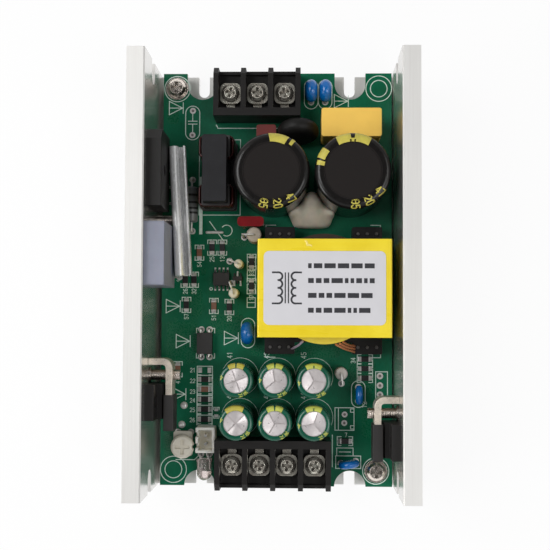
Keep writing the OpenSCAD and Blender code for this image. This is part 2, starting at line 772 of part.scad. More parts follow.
module inrush_thermistor() {
  color(black) {
    translate([thermistor_x, thermistor_y, top_z + 1 + thermistor_d / 2]) rotate([-thermistor_lean, 0, 0])
      dipped_disc(thermistor_d, thermistor_t);
    leads(thermistor_leads, top_z + thermistor_d * 0.3);
  }
}

module box_capacitor() {
  foot_h = 0.4;
  foot_w = 1;
  foot_x = box_cap_w / 2 - 4;
  foot_l = box_cap_l - 2;
  color([0.94, 0.77, 0.3]) {
    translate([box_cap_x, box_cap_y, top_z + foot_h])
      rounded_block(box_cap_w, box_cap_l, box_cap_h - foot_h, 0.7);
    for (s = [-1, 1]) translate([box_cap_x + s * foot_x - foot_w / 2, box_cap_y - foot_l / 2, top_z])
      cube([foot_w, foot_l, foot_h + tiny]);
    leads(box_leads, top_z + 1);
  }
}

module choke_core() {
  yoke_z = choke_base_h + fit;
  core_top = choke_h - yoke_z;
  color(black) translate([choke_x, choke_y, top_z + yoke_z]) {
    for (z = [0, core_top - choke_leg]) translate([0, 0, z])
      rounded_block(choke_core_w, choke_core_l, choke_leg, 0.6);
    for (s = [-1, 1]) translate([0, s * choke_leg_y, 0])
      rounded_block(choke_core_w, choke_leg, core_top, 0.6);
  }
}

module choke_bobbin() {
  color([0.2, 0.2, 0.18]) translate([choke_x, choke_y, top_z]) {
    rounded_block(choke_w, choke_l, choke_base_h, 0.8);
    difference() {
      for (s = [-1, 1]) translate([0, s * choke_leg_y, 0]) {
        translate([0, 0, choke_low])
          rounded_block(choke_core_w + 4 * choke_wind, choke_leg + 2.4 * choke_wind, choke_flange, 1);
        translate([0, 0, choke_high - choke_flange])
          rounded_block(choke_core_w + 1.6 * choke_wind, choke_leg + 1.6 * choke_wind, choke_flange, 0.6);
      }
      choke_leg_room();
    }
  }
  color(steel) leads(choke_pins, top_z + tiny);
}

module choke_leg_room() {
  for (s = [-1, 1]) translate([0, s * choke_leg_y, 0]) linear_extrude(choke_h)
    square([choke_core_w + 2 * fit, choke_leg + 2 * fit], center = true);
}

module choke_windings() {
  low = choke_low + choke_flange + fit;
  high = choke_high - choke_flange - fit;
  color([0.42, 0.1, 0.1]) translate([choke_x, choke_y, top_z]) difference() {
    for (s = [-1, 1]) translate([0, s * choke_leg_y, low])
      rounded_block(choke_core_w + 4 * choke_wind, choke_leg + 2 * choke_wind, high - low, 1);
    choke_leg_room();
  }
}

// Blue discs, each with its flat faces turned by its own angle
module disc_group(places) {
  coat_d = lead_d + 0.7;
  for (p = places) {
    translate([p[0], p[1], top_z + disc_lift + p[3] / 2]) rotate(p[2]) dipped_disc(p[3], p[4]);
    leads(along(p, p[3] * 0.7, p[2]), top_z + disc_lift + p[3] * 0.3);
    for (q = along(p, p[3] * 0.7, p[2])) translate([q[0], q[1], top_z + disc_lift * 0.5])
      cylinder(d1 = lead_d + 0.1, d2 = coat_d, h = disc_lift + p[3] * 0.15);
  }
}

module line_disc_capacitors() {
  color([0.12, 0.49, 0.88]) disc_group(line_disc_places);
}

module disc_capacitors() {
  color([0.12, 0.49, 0.88]) disc_group(disc_places);
}

// Electrolytic can with a crimp bead near its seal and a score of grooves in its top
module electrolytic_can(d, h, pitch, angle, grooves, turn) {
  r = d / 2 - sleeve_t - fit / 2;
  round_r = can_round(d);
  bead_z = h * 0.14;
  groove_w = d * 0.035;
  difference() {
    rotate_extrude() difference() {
      union() {
        square([r, h - round_r]);
        square([r - round_r, h]);
        translate([r - round_r, h - round_r]) circle(round_r);
      }
      translate([r + bead_z * 0.2, bead_z]) circle(bead_z * 0.5);
    }
    if (grooves > 0) for (i = [1:grooves]) rotate(turn + i * 360 / grooves)
      translate([0, -groove_w / 2, h - groove_w]) cube([d * 0.3, groove_w, d]);
  }
  for (s = [-1, 1]) rotate(angle) translate([s * pitch / 2, 0, -board_t - lead_stub])
    cylinder(d = lead_d, h = board_t + lead_stub + tiny);
}

// Shrunk sleeve that follows the can's shoulder and rolls a little way over its top
module can_sleeve(d, h, opening) {
  foot = 0.3;
  inner_r = can_round(d) + fit / 2;
  outer_r = inner_r + sleeve_t;
  shoulder_x = d / 2 - outer_r;
  shoulder_z = h - can_round(d);
  rotate_extrude() {
    translate([d / 2 - sleeve_t, foot]) square([sleeve_t, shoulder_z - foot]);
    translate([shoulder_x, shoulder_z]) intersection() {
      difference() {
        circle(outer_r);
        circle(inner_r);
      }
      square(outer_r);
    }
    translate([opening / 2, h + fit / 2]) square([shoulder_x - opening / 2, sleeve_t]);
  }
}

// Insulating disc that lies on the can inside the sleeve's opening
module end_disc(h, opening) {
  translate([0, 0, h]) cylinder(d = opening - 2 * fit, h = sleeve_t);
}

module bulk_capacitor(x) {
  color(steel) translate([x, bulk_y, top_z]) electrolytic_can(bulk_d, bulk_can_h, bulk_pitch, 90, 0, 0);
}

module bulk_sleeve(x) {
  color(black) translate([x, bulk_y, top_z]) {
    can_sleeve(bulk_d, bulk_can_h, bulk_opening_d);
    end_disc(bulk_can_h, bulk_opening_d);
  }
}

module bulk_capacitor_1() {
  bulk_capacitor(bulk_1_x);
}

module bulk_capacitor_2() {
  bulk_capacitor(bulk_2_x);
}

module bulk_sleeve_1() {
  bulk_sleeve(bulk_1_x);
}

module bulk_sleeve_2() {
  bulk_sleeve(bulk_2_x);
}

module output_capacitor(i) {
  grooves = i % 3 == 0 ? 4 : 3;
  turns = [20, 100, 235, 45, 0, 190];
  color(steel) translate([cap_places[i][0], cap_places[i][1], top_z])
    electrolytic_can(cap_d, cap_can_h, cap_pitch, 0, grooves, turns[i]);
}

module output_sleeves() {
  color([0.1, 0.36, 0.28]) for (p = cap_places) translate([p[0], p[1], top_z])
    can_sleeve(cap_d, cap_can_h, cap_opening_d);
}

// Round-topped mound of set adhesive
module mound(r, h) {
  rotate_extrude() {
    intersection() {
      translate([0, h - r]) circle(r);
      square([r, h]);
    }
    if (h > r) square([r, h - r]);
  }
}

// Adhesive squeezed into the cusp between the two cans, cut short of the transformer
module fixing_adhesive() {
  front = transformer_y + rail_y + rail_depth / 2 + part_gap / 2;
  color([0.67, 0.64, 0.58]) difference() {
    translate([glue_place[0], glue_place[1], top_z]) {
      mound(glue_r, glue_h);
      translate([0, glue_r * 0.4, 0]) mound(glue_r * 0.64, glue_h * 1.45);
      translate([0, glue_r * 0.8, 0]) mound(glue_r * 0.42, glue_h * 1.9);
      for (s = [-1, 1]) translate([s * glue_r * 0.95, glue_r * 0.5, 0]) mound(glue_r * 0.36, glue_h * 1.3);
    }
    for (x = [bulk_1_x, bulk_2_x]) translate([x, bulk_y, 0]) cylinder(d = bulk_d + 2 * fit, h = wall_h);
    translate([-chassis_w / 2, front - chassis_l, 0]) cube([chassis_w, chassis_l, wall_h]);
  }
}

// Bridge rectifier flat against the left wall, body across Y and Z
module bridge_rectifier() {
  cut = 3;
  hole = 3.4;
  lead_x = -inner_x + bridge_t / 2;
  color(black) {
    translate([-inner_x, bridge_y, bridge_z]) rotate([90, 0, 90]) linear_extrude(bridge_t) difference() {
      polygon([
        [-bridge_w / 2, 0], [bridge_w / 2, 0], [bridge_w / 2, bridge_h - cut],
        [bridge_w / 2 - cut, bridge_h], [-bridge_w / 2, bridge_h]
      ]);
      translate([0, bridge_h * 0.55]) circle(d = hole);
    }
    for (p = bridge_leads) bent_lead([
      [lead_x, p[1], bridge_z + tiny], [lead_x, p[1], lead_jog_z], [p[0], p[1], lead_jog_z],
      [p[0], p[1], board_z - lead_stub]
    ], lead_d);
  }
}

// Transistor inside the silicone cap
module switching_transistor() {
  front = silicone_t + fit;
  lead_x = -inner_x + front + switch_t / 2;
  color(black) {
    translate([-inner_x + front, silicone_y, switch_z]) rotate([90, 0, 90])
      linear_extrude(switch_t) difference() {
        translate([0, switch_h / 2]) rounded_square(switch_w, switch_h, 0.6);
        translate([0, switch_h * 0.7]) circle(d = 3.6);
      }
    for (p = switch_leads) bent_lead([
      [lead_x, p[1], switch_z + tiny], [lead_x, p[1], lead_jog_z], [p[0], p[1], lead_jog_z],
      [p[0], p[1], board_z - lead_stub]
    ], lead_d);
  }
}

module silicone_cap() {
  inner_w = silicone_w - 2 * silicone_t;
  inner_h = silicone_h - silicone_t;
  color([0.52, 0.53, 0.59]) translate([-inner_x, silicone_y, silicone_z]) rotate([90, 0, 90]) difference() {
    translate([0, silicone_h / 2, 0]) rounded_block(silicone_w, silicone_h, silicone_thick, 0.5);
    translate([-inner_w / 2, -tiny, silicone_t]) cube([inner_w, inner_h, silicone_thick - 2 * silicone_t]);
  }
}

// Pressed steel bar: web, rounded bend, trough and an upturned lip
module bar_section() {
  bend_r = (bar_w - bar_t) * 0.36;
  bend_z = bar_h - bend_r;
  trough_z = bar_h - 3.7;
  square([bar_t, bend_z]);
  translate([bend_r, bend_z]) intersection() {
    difference() {
      circle(bend_r);
      circle(bend_r - bar_t);
    }
    translate([-bend_r, 0]) square([2 * bend_r, bend_r]);
  }
  translate([2 * bend_r - bar_t, trough_z]) square([bar_t, bend_z - trough_z]);
  translate([2 * bend_r - bar_t, trough_z]) square([bar_w - 2 * bend_r + bar_t, bar_t * 0.8]);
  translate([bar_w - bar_t * 0.6, trough_z]) square([bar_t * 0.6, bar_h - trough_z - 0.6]);
}

module clamp_bar() {
  color([0.78, 0.78, 0.78]) difference() {
    translate([-inner_x + bridge_t + fit, bar_end_y, bar_z]) rotate(bar_angle) rotate([90, 0, 0])
      linear_extrude(bar_l) bar_section();
    translate([-inner_x, bar_screw_y, bar_screw_z]) rotate([0, 90, 0])
      cylinder(d = bore_d + 2 * fit, h = 2 * bar_h);
  }
}

module clamp_bar_screw() {
  color(steel) translate([-chassis_w / 2, bar_screw_y, bar_screw_z]) wall_screw(bar_screw_l);
}

// Stepped full-pack rectifier against a wall at x = 0, facing +X
module rectifier_body() {
  rotate([90, 0, 0]) linear_extrude(rect_w, center = true) polygon([
    [0, 0], [rect_t, 0], [rect_t, rect_body_h - 0.6], [rect_t - 0.6, rect_body_h], [rect_tab_t, rect_body_h],
    [rect_tab_t, rect_h], [0, rect_h]
  ]);
}

module output_rectifier(y, lead_places) {
  lead_x = -inner_x + rect_t / 2;
  hole_z = (rect_body_h + rect_h) / 2;
  color(black) {
    difference() {
      translate([-inner_x, y, rect_z]) rectifier_body();
      translate([-inner_x - tiny, y, rect_z + hole_z]) rotate([0, 90, 0]) cylinder(d = 3.2, h = rect_t);
    }
    for (p = lead_places) bent_lead([
      [lead_x, p[1], rect_z + tiny], [lead_x, p[1], lead_jog_z + 1.6], [-rect_lead_x, p[1], lead_jog_z],
      [-rect_lead_x, p[1], board_z - lead_stub]
    ], lead_d);
  }
}

module left_rectifier() {
  output_rectifier(left_rect_y, left_rect_leads);
}

module right_rectifier() {
  mirror([1, 0, 0]) output_rectifier(right_rect_y, right_rect_leads);
}

// Bent clamp: a short leg on the wall and a long arm across the rectifier
module clamp_plan(boot) {
  bend_r = clamp_t * 1.5;
  reach = arm_x - clamp_t;
  translate([-inner_x + fit, clamp_leg_y - clamp_t]) square([inner_x - reach - bend_r - fit, clamp_t]);
  translate([-arm_x, boot[0] + boot_t]) square([clamp_t, clamp_leg_y - bend_r - boot[0] - boot_t]);
  translate([-reach - bend_r, clamp_leg_y - bend_r]) intersection() {
    difference() {
      circle(bend_r);
      circle(bend_r - clamp_t);
    }
    square(bend_r);
  }
}

module rectifier_clamp(y, boot) {
  color([0.78, 0.74, 0.68]) difference() {
    translate([0, y, arm_z]) linear_extrude(clamp_h) clamp_plan(boot);
    translate([-inner_x, y + clamp_screw_y, clamp_screw_z]) rotate([0, 90, 0])
      cylinder(d = bore_d, h = inner_x);
  }
}

module left_clamp() {
  rectifier_clamp(left_rect_y, left_boot);
}

module right_clamp() {
  mirror([1, 0, 0]) rectifier_clamp(right_rect_y, right_boot);
}

// Insulating boot over the end of each clamp arm
module clamp_boot(y, boot) {
  side = fit / 2;
  length = boot[1] - boot[0];
  translate([-arm_x - boot_t - side, y + boot[0], arm_z - boot_t - side]) difference() {
    cube([clamp_t + 2 * (boot_t + side), length, clamp_h + 2 * (boot_t + side)]);
    translate([boot_t, boot_t - side, boot_t]) cube([clamp_t + 2 * side, length, clamp_h + 2 * side]);
  }
}

module clamp_boots() {
  color(black) {
    clamp_boot(left_rect_y, left_boot);
    mirror([1, 0, 0]) clamp_boot(right_rect_y, right_boot);
  }
}

module clamp_screws() {
  color(steel) {
    translate([-chassis_w / 2, left_rect_y + clamp_screw_y, clamp_screw_z]) wall_screw(clamp_screw_l);
    translate([chassis_w / 2, right_rect_y + clamp_screw_y, clamp_screw_z]) mirror([1, 0, 0])
      wall_screw(clamp_screw_l);
  }
}

module wall_washer(y) {
  translate([-inner_x, y, clamp_screw_z]) rotate([0, 90, 0]) difference() {
    cylinder(d = wall_washer_d, h = washer_t);
    translate([0, 0, -tiny]) cylinder(d = bore_d, h = washer_t + 2 * tiny);
  }
}

module clamp_washers() {
  color(steel) {
    wall_washer(left_rect_y + clamp_screw_y);
    mirror([1, 0, 0]) wall_washer(right_rect_y + clamp_screw_y);
  }
}

// Small leaded parts
module axial_diode() {
  z = top_z + diode_d / 2 + 0.4;
  color([0.25, 0.25, 0.25]) {
    translate([diode_place[0], diode_place[1], z]) rotate([90, 0, 0])
      cylinder(d = diode_d, h = diode_l, center = true);
    for (p = diode_leads) bent_lead([
      [diode_place[0], diode_place[1], z], [p[0], p[1], z], [p[0], p[1], board_z - lead_stub]
    ], lead_d);
  }
}

module film_capacitor() {
  color([0.6, 0.12, 0.1]) {
    translate([film_place[0], film_place[1], top_z + 0.4])
      rounded_block(film_size[0], film_size[1], film_size[2], 1.2);
    leads(film_leads, top_z + 1);
  }
}

// Resistor stood on end, its upper lead bent over and down beside it
module standing_resistor(r, foot) {
  body_z = top_z + 1;
  bend_z = body_z + r[3] + 0.9;
  translate([r[0], r[1], body_z]) rotate_extrude() intersection() {
    union() {
      translate([0, 0.6]) square([r[2] / 2, r[3] - 1.2]);
      square([r[2] / 2 - 0.6, r[3]]);
      for (z = [0.6, r[3] - 0.6]) translate([r[2] / 2 - 0.6, z]) circle(0.6);
    }
    square([r[2], r[3]]);
  }
  leads([[r[0], r[1]]], body_z + tiny);
  bent_lead([
    [r[0], r[1], body_z + r[3] - tiny], [r[0], r[1], bend_z], [foot[0], foot[1], bend_z],
    [foot[0], foot[1], board_z - lead_stub]
  ], lead_d * 0.8);
}

module standing_resistors() {
  color([0.72, 0.66, 0.56]) for (i = [0:len(resistors) - 1])
    standing_resistor(resistors[i], resistor_feet[i]);
}

// Transformer with a round centre post, its winding open to both long sides
module core_half() {
  half = core_h / 2;
  linear_extrude(core_plate) square([core_w, core_l], center = true);
  cylinder(d = core_post_d, h = half);
  difference() {
    linear_extrude(half) square([core_w, core_l], center = true);
    translate([0, 0, -tiny]) cylinder(d = leg_bore_d, h = half + 1);
  }
}

module at_transformer(z) {
  translate([transformer_x, transformer_y, z]) children();
}

module transformer_core() {
  color([0.2, 0.2, 0.2]) at_transformer(core_z) {
    core_half();
    translate([0, 0, core_h]) mirror([0, 0, 1]) core_half();
  }
}

module transformer_bobbin() {
  low = window_z + fit - top_z;
  high = window_z + window_h - fit - bobbin_t - top_z;
  plate_y = core_l / 2 + part_gap / 2;
  plate_l = 1 + part_gap;
  rail_end = rail_x + rail_w / 2;
  arm_start = winding_d / 6;
  color(black) at_transformer(top_z) difference() {
    union() {
      translate([0, 0, low]) cylinder(d = bobbin_tube_d, h = high - low);
      translate([0, 0, low]) cylinder(d = flange_d, h = bobbin_t);
      translate([0, 0, high]) cylinder(d = core_l, h = bobbin_t);
      for (sx = [-1, 1], sy = [-1, 1]) {
        translate([sx * (rail_end + arm_start) / 2, sy * (plate_y + plate_l / 2), low + bobbin_t / 2])
          cube([rail_end - arm_start, plate_l, bobbin_t], center = true);
        translate([sx * rail_x, sy * rail_y, 0]) rounded_block(rail_w, rail_depth, rail_h, 0.4);
      }
    }
    translate([0, 0, low - tiny]) cylinder(d = core_post_d + 2 * fit, h = core_h);
    translate([-transformer_x, -transformer_y, -tiny])
      for (p = rail_pin_places) translate(p) cylinder(d = lead_d + fit, h = rail_h + 1);
  }
}

module transformer_pins() {
  color(steel) leads(rail_pin_places, top_z + rail_h + 0.6);
}

module transformer_winding() {
  low = window_z + 2 * fit + bobbin_t;
  high = window_z + window_h - 2 * fit - bobbin_t;
  color(yellow) at_transformer(low) difference() {
    cylinder(d = winding_d, h = high - low);
    translate([0, 0, -tiny]) cylinder(d = bobbin_tube_d + 2 * fit, h = core_h);
  }
}

// Tape wound round the core over its top, its two ends and its underside
module transformer_tape() {
  color(yellow) at_transformer(core_z + core_h / 2) rotate([90, 0, 0])
    linear_extrude(core_l + part_gap, center = true) difference() {
      rounded_square(tape_w, tape_h, tape_t);
      square([core_w, core_h], center = true);
    }
}

module transformer_label() {
  color([0.82, 0.82, 0.85]) at_transformer(core_z + core_h + tape_t)
    rounded_block(label_w, label_l, label_t, 1.6);
}

// Winding ends brought down to the pins at the output side
module transformer_wires() {
  wire_d = 0.7;
  wire_pitch = wire_d + 2 * fit;
  // Angle round the winding, side, place among the wires at the pin
  ends = [[12, 1, -1], [16, 1, 0], [20, 1, 1], [22, -1, 0]];
  run_r = winding_d / 2 + wire_d / 2 + fit;
  start_z = window_z + window_h * 0.6 - top_z;
  end_x = rail_x - rail_w / 2 + wire_d;
  end_y = rail_y + rail_depth / 2 - wire_d;
  end_z = rail_h + wire_d / 2 + fit;
  color([0.8, 0.5, 0.32]) at_transformer(top_z) for (w = ends) wire(
    [w[1] * run_r * sin(w[0]), -run_r * cos(w[0]), start_z],
    [w[1] * end_x, (1 + w[2]) * wire_pitch - end_y, end_z], wire_d
  );
}

// Surface-mounted parts
module chip(p) {
  translate([p[0], p[1], top_z]) rotate(p[2]) {
    translate([-chip_size[0] / 2 + chip_cap_t / 2, -chip_size[1] / 2, 0])
      cube([chip_size[0] - chip_cap_t, chip_size[1], chip_size[2] - 0.05]);
    for (s = [-1, 1]) translate([s * (chip_size[0] - chip_cap_t) / 2 - chip_cap_t / 2, -chip_size[1] / 2, 0])
      cube([chip_cap_t, chip_size[1], chip_size[2]]);
  }
}

module surface_chips() {
  color([0.2, 0.18, 0.16]) for (p = concat(left_column, right_column, loose_chips)) chip(p);
}

// Gull-wing foot, body side at the origin, reaching out along +Y
module gull_foot(w, reach) {
  foot_t = 0.25;
  knee = 0.7;
  translate([-w / 2, 0, 0]) rotate([90, 0, 90]) linear_extrude(w) polygon([
    [-0.2, knee], [reach * 0.35, knee], [reach * 0.5, 0], [reach, 0], [reach, foot_t],
    [reach * 0.5 + foot_t, foot_t], [reach * 0.35 + foot_t, knee + foot_t], [-0.2, knee + foot_t]
  ]);
}

module gull_chip(size, feet, pitch, foot_w) {
  lift = 0.15;
  difference() {
    translate([0, 0, lift]) rounded_block(size[0], size[1], size[2] - lift, 0.15);
    translate([-size[0] / 2 + 0.9, -size[1] / 2 + 0.9, size[2] - 0.1]) cylinder(d = 0.7, h = 1);
  }
  for (i = [0:1]) rotate(180 * i) for (x = row(feet[i], pitch)) translate([x, size[1] / 2, 0])
    gull_foot(foot_w, 1.05);
}

module controller_chip() {
  color(black) {
    translate([controller_place[0], controller_place[1], top_z])
      gull_chip(controller_size, [4, 4], controller_pitch, 0.42);
    translate([transistor_place[0], transistor_place[1], top_z])
      gull_chip(transistor_size, [2, 1], transistor_pitch, 0.42);
  }
}

module optocoupler() {
  lift = 0.5;
  dot = 1;
  dot_z = top_z + lift + opto_size[2] - 0.2;
  knee_z = top_z + lift + opto_size[2] / 2;
  color(black) {
    difference() {
      translate([opto_place[0], opto_place[1], top_z + lift])
        rounded_block(opto_size[0], opto_size[1], opto_size[2], 0.3);
      translate([opto_place[0] - opto_size[0] / 2 + dot, opto_place[1] + opto_size[1] / 2 - dot, dot_z])
        cylinder(d = dot, h = 1);
    }
    for (p = opto_leads) bent_lead([
      [p[0], opto_place[1], knee_z], [p[0], p[1], knee_z], [p[0], p[1], board_z - lead_stub]
    ], lead_d * 0.8);
  }
}

// Trimmer: a base on three legs, a pivot and a slotted rotor that turns on it
module trimmer_base() {
  deck_z = trimmer_lift - trimmer_base_h - 2 * fit;
  color([0.6, 0.58, 0.52]) translate([trimmer_place[0], trimmer_place[1], top_z]) {
    translate([0, trimmer_shift, deck_z]) rounded_block(trimmer_w, trimmer_l, trimmer_base_h, 0.8);
    cylinder(d = pivot_d, h = trimmer_lift + rotor_h * 0.5);
    for (p = trimmer_leads) translate([p[0], p[1], -board_t - lead_stub])
      cylinder(d = lead_d, h = board_t + lead_stub + deck_z + tiny);
  }
}

module trimmer_rotor() {
  slot_w = 1;
  slot_l = rotor_d * 0.62;
  slot_z = rotor_h * 0.6 + 2 * fit;
  color([0.82, 0.8, 0.75]) translate([trimmer_place[0], trimmer_place[1], top_z + trimmer_lift])
  difference() {
    union() {
      cylinder(d = rotor_d, h = rotor_h * 0.7);
      translate([0, 0, rotor_h * 0.7 - tiny]) cylinder(d1 = rotor_d, d2 = rotor_d - 1, h = rotor_h * 0.3);
    }
    translate([0, 0, -tiny]) cylinder(d = pivot_d + 2 * fit, h = rotor_h * 0.5 + 2 * fit);
    for (a = [0, 90]) rotate(a) translate([-slot_l / 2, -slot_w / 2, slot_z]) cube([slot_l, slot_w, rotor_h]);
    translate([rotor_d / 2, 0, -tiny]) cylinder(d = 1.2, h = rotor_h + 1);
  }
}

// Open-top socket for a two-pole plug
module signal_header() {
  floor_h = 1.8;
  key_w = 1.4;
  inner = [header_size[0] - 2 * header_wall, header_size[1] - 2 * header_wall];
  color([0.8, 0.79, 0.75]) {
    translate([header_place[0], header_place[1], top_z]) difference() {
      rounded_block(header_size[0], header_size[1], header_size[2], 0.3);
      translate([-inner[0] / 2, -inner[1] / 2, floor_h]) cube([inner[0], inner[1], header_size[2]]);
      for (s = [-1, 1]) translate([-header_size[0], s * header_size[1] * 0.22 - key_w / 2, floor_h + 1.6])
        cube([header_size[0], key_w, header_size[2]]);
    }
    leads(header_holes, top_z + header_size[2] - 1.4);
  }
}

// Round lamp laid over the end of the board, leads bent down through it
module indicator_led() {
  rim_t = 1;
  color([0.9, 0.86, 0.84]) {
    translate([led_place[0], led_place[1] - 1, led_axis_z]) rotate([90, 0, 0]) {
      cylinder(d = led_rim_d, h = rim_t);
      cylinder(d = led_d, h = led_l - led_d / 2);
      translate([0, 0, led_l - led_d / 2]) sphere(d = led_d);
    }
    for (p = led_holes) bent_lead([
      [p[0], p[1] - 1.2, led_axis_z], [p[0], p[1], led_axis_z], [p[0], p[1], board_z - lead_stub]
    ], lead_d * 0.7);
  }
}

chassis_channel();
circuit_board();
board_posts();
board_screws();
board_washers();
input_terminal_block();
output_terminal_block();
input_contacts();
output_contacts();
clamp_plates();
terminal_screws();
line_fuse();
inrush_thermistor();
box_capacitor();
choke_core();
choke_bobbin();
choke_windings();
line_disc_capacitors();
disc_capacitors();
bulk_capacitor_1();
bulk_capacitor_2();
bulk_sleeve_1();
bulk_sleeve_2();
fixing_adhesive();
bridge_rectifier();
switching_transistor();
silicone_cap();
clamp_bar();
clamp_bar_screw();
left_rectifier();
right_rectifier();
left_clamp();
right_clamp();
clamp_boots();
clamp_screws();
clamp_washers();
axial_diode();
film_capacitor();
standing_resistors();
transformer_core();
transformer_bobbin();
transformer_pins();
transformer_winding();
transformer_tape();
transformer_label();
transformer_wires();
output_capacitor(0);  // output_capacitor_1
output_capacitor(1);  // output_capacitor_2
output_capacitor(2);  // output_capacitor_3
output_capacitor(3);  // output_capacitor_4
output_capacitor(4);  // output_capacitor_5
output_capacitor(5);  // output_capacitor_6
output_sleeves();
surface_chips();
controller_chip();
optocoupler();
trimmer_base();
trimmer_rotor();
signal_header();
indicator_led();
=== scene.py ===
"""Looks of an open-frame power supply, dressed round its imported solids.

Places and sizes are millimetres in the part's own frame: +Y is the mains end and +Z is up.
They turn into metres where a mesh is made.
"""

import math
import random

import bmesh
import bpy
from mathutils import Matrix, Vector


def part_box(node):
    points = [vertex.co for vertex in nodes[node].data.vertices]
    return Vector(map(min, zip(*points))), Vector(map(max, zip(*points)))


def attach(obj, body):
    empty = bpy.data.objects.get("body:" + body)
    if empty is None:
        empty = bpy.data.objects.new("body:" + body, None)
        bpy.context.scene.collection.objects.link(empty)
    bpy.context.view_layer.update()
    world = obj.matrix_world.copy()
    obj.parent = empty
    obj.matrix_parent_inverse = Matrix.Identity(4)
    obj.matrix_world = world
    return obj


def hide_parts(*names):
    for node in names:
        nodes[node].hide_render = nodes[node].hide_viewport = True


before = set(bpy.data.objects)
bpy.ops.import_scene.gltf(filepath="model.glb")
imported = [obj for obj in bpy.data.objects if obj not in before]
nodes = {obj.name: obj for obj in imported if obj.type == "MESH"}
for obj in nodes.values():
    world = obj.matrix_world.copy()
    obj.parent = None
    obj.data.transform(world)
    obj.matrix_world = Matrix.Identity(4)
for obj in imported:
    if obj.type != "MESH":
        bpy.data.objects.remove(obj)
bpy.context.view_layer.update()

MM = 0.001
SUPPLY = "supply"
UP = Vector((0, 0, 1))

# The photograph's camera: side and focal length in pixels, place, and turn in degrees
PHOTO_SIDE = 550
PHOTO_FOCAL = 1016.3
SENSOR = 36.0
CAMERA_PLACE = (8.84, -14.77, 322.35)
CAMERA_TURN = (2.855, 1.626, 0.249)
NEAREST_SEEN = 0.01

# Sleeves and leads, as the solids have them
BULK_OPENING = 8.15
BULK_SHOULDER = 1.67
CAP_OPENING = 3.65
CAP_SHOULDER = 0.96
LEAD_RADIUS = 0.35
PIN_PITCH = 1.27
RESISTOR_REACH = 3.4
DIODE_LENGTH = 11.0
LED_RIM = 2.5
LED_RADIUS = 2.2
LED_LENGTH = 6.6

# Print and solder: heights above what carries them, depths in it, and widths
SILK = 0.03
SILK_SINK = 0.01
SILK_LINE = 0.24
SILK_DIGIT = 0.16
SINK = 0.02
PAD = 0.05
LAND = 0.42
CHIP_LAND = 0.16
FIELD_LIFT = 0.06
DIGIT_LIFT = 0.07

# Thin plates on a face: how deep they root in it and how thick they are above their surface
PLATE_ROOT = 0.05
PLATE_THICK = 0.02

# Turn of the scored lines on each output can, as the solids have them
VENT_TURNS = (20, 100, 235, 45, 0, 190)


def box(node):
    """Lowest and highest corner of a solid."""
    low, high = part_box(node)
    return Vector(low) / MM, Vector(high) / MM


def middle(node):
    low, high = box(node)
    return (low + high) / 2


def clusters(links):
    """Boxes round the groups of points that the links join, ordered by place."""
    parent = {}

    def root(point):
        while parent[point] != point:
            parent[point] = parent[parent[point]]
            point = parent[point]
        return point

    for first, second in links:
        parent.setdefault(first, first)
        parent.setdefault(second, second)
        parent[root(first)] = root(second)
    groups = {}
    for point in parent:
        groups.setdefault(root(point), []).append(point)
    boxes = []
    for points in groups.values():
        axes = list(zip(*points))
        boxes.append((Vector([min(axis) for axis in axes]), Vector([max(axis) for axis in axes])))
    return sorted(boxes, key=lambda pair: tuple(pair[0]))


def mesh_point(mesh, index):
    return tuple(round(value / MM, 2) for value in mesh.vertices[index].co)


def islands(node):
    """Boxes of the separate solids in one node."""
    mesh = nodes[node].data
    return clusters([[mesh_point(mesh, i) for i in edge.vertices] for edge in mesh.edges])


def underside(node):
    """Height of a solid's largest flat that faces down, above which its body begins."""
    mesh = nodes[node].data
    areas = {}
    for face in mesh.polygons:
        if face.normal.z < -0.9:
            level = round(face.center.z / MM, 1)
            areas[level] = areas.get(level, 0) + face.area
    return max(areas, key=areas.get)


BOARD_LOW, BOARD_HIGH = box("circuit_board")
TOP = BOARD_HIGH.z
UNDER = BOARD_LOW.z
LEAD_TIP = UNDER - 0.9


def board_holes():
    """Centres and radii of the round holes through the board."""
    mesh = nodes["circuit_board"].data
    links = []
    for face in mesh.polygons:
        if abs(face.normal.z) < 0.5:
            for edge in face.edge_keys:
                ends = [mesh_point(mesh, i) for i in edge]
                if all(abs(end[2] - TOP) < 0.05 for end in ends):
                    links.append(ends)
    widest = 8
    return [
        ((low + high) / 2, (high.x - low.x) / 2)
        for low, high in clusters(links) if high.x - low.x < widest
    ]


def heading(degrees):
    """Level direction at a bearing from +X."""
    turn = math.radians(degrees)
    return Vector((math.cos(turn), math.sin(turn), 0))


def spins(sides):
    """Directions of the corners round a circle."""
    return [heading(360 * i / sides) for i in range(sides)]


def stretches(line, width):
    """Stretches of a line with square ends, each with its half width to the side."""
    for start, end in zip(line, line[1:]):
        start, end = Vector(start), Vector(end)
        along = (end - start).normalized() * width / 2
        yield start - along, end + along, Vector((-along.y, along.x))


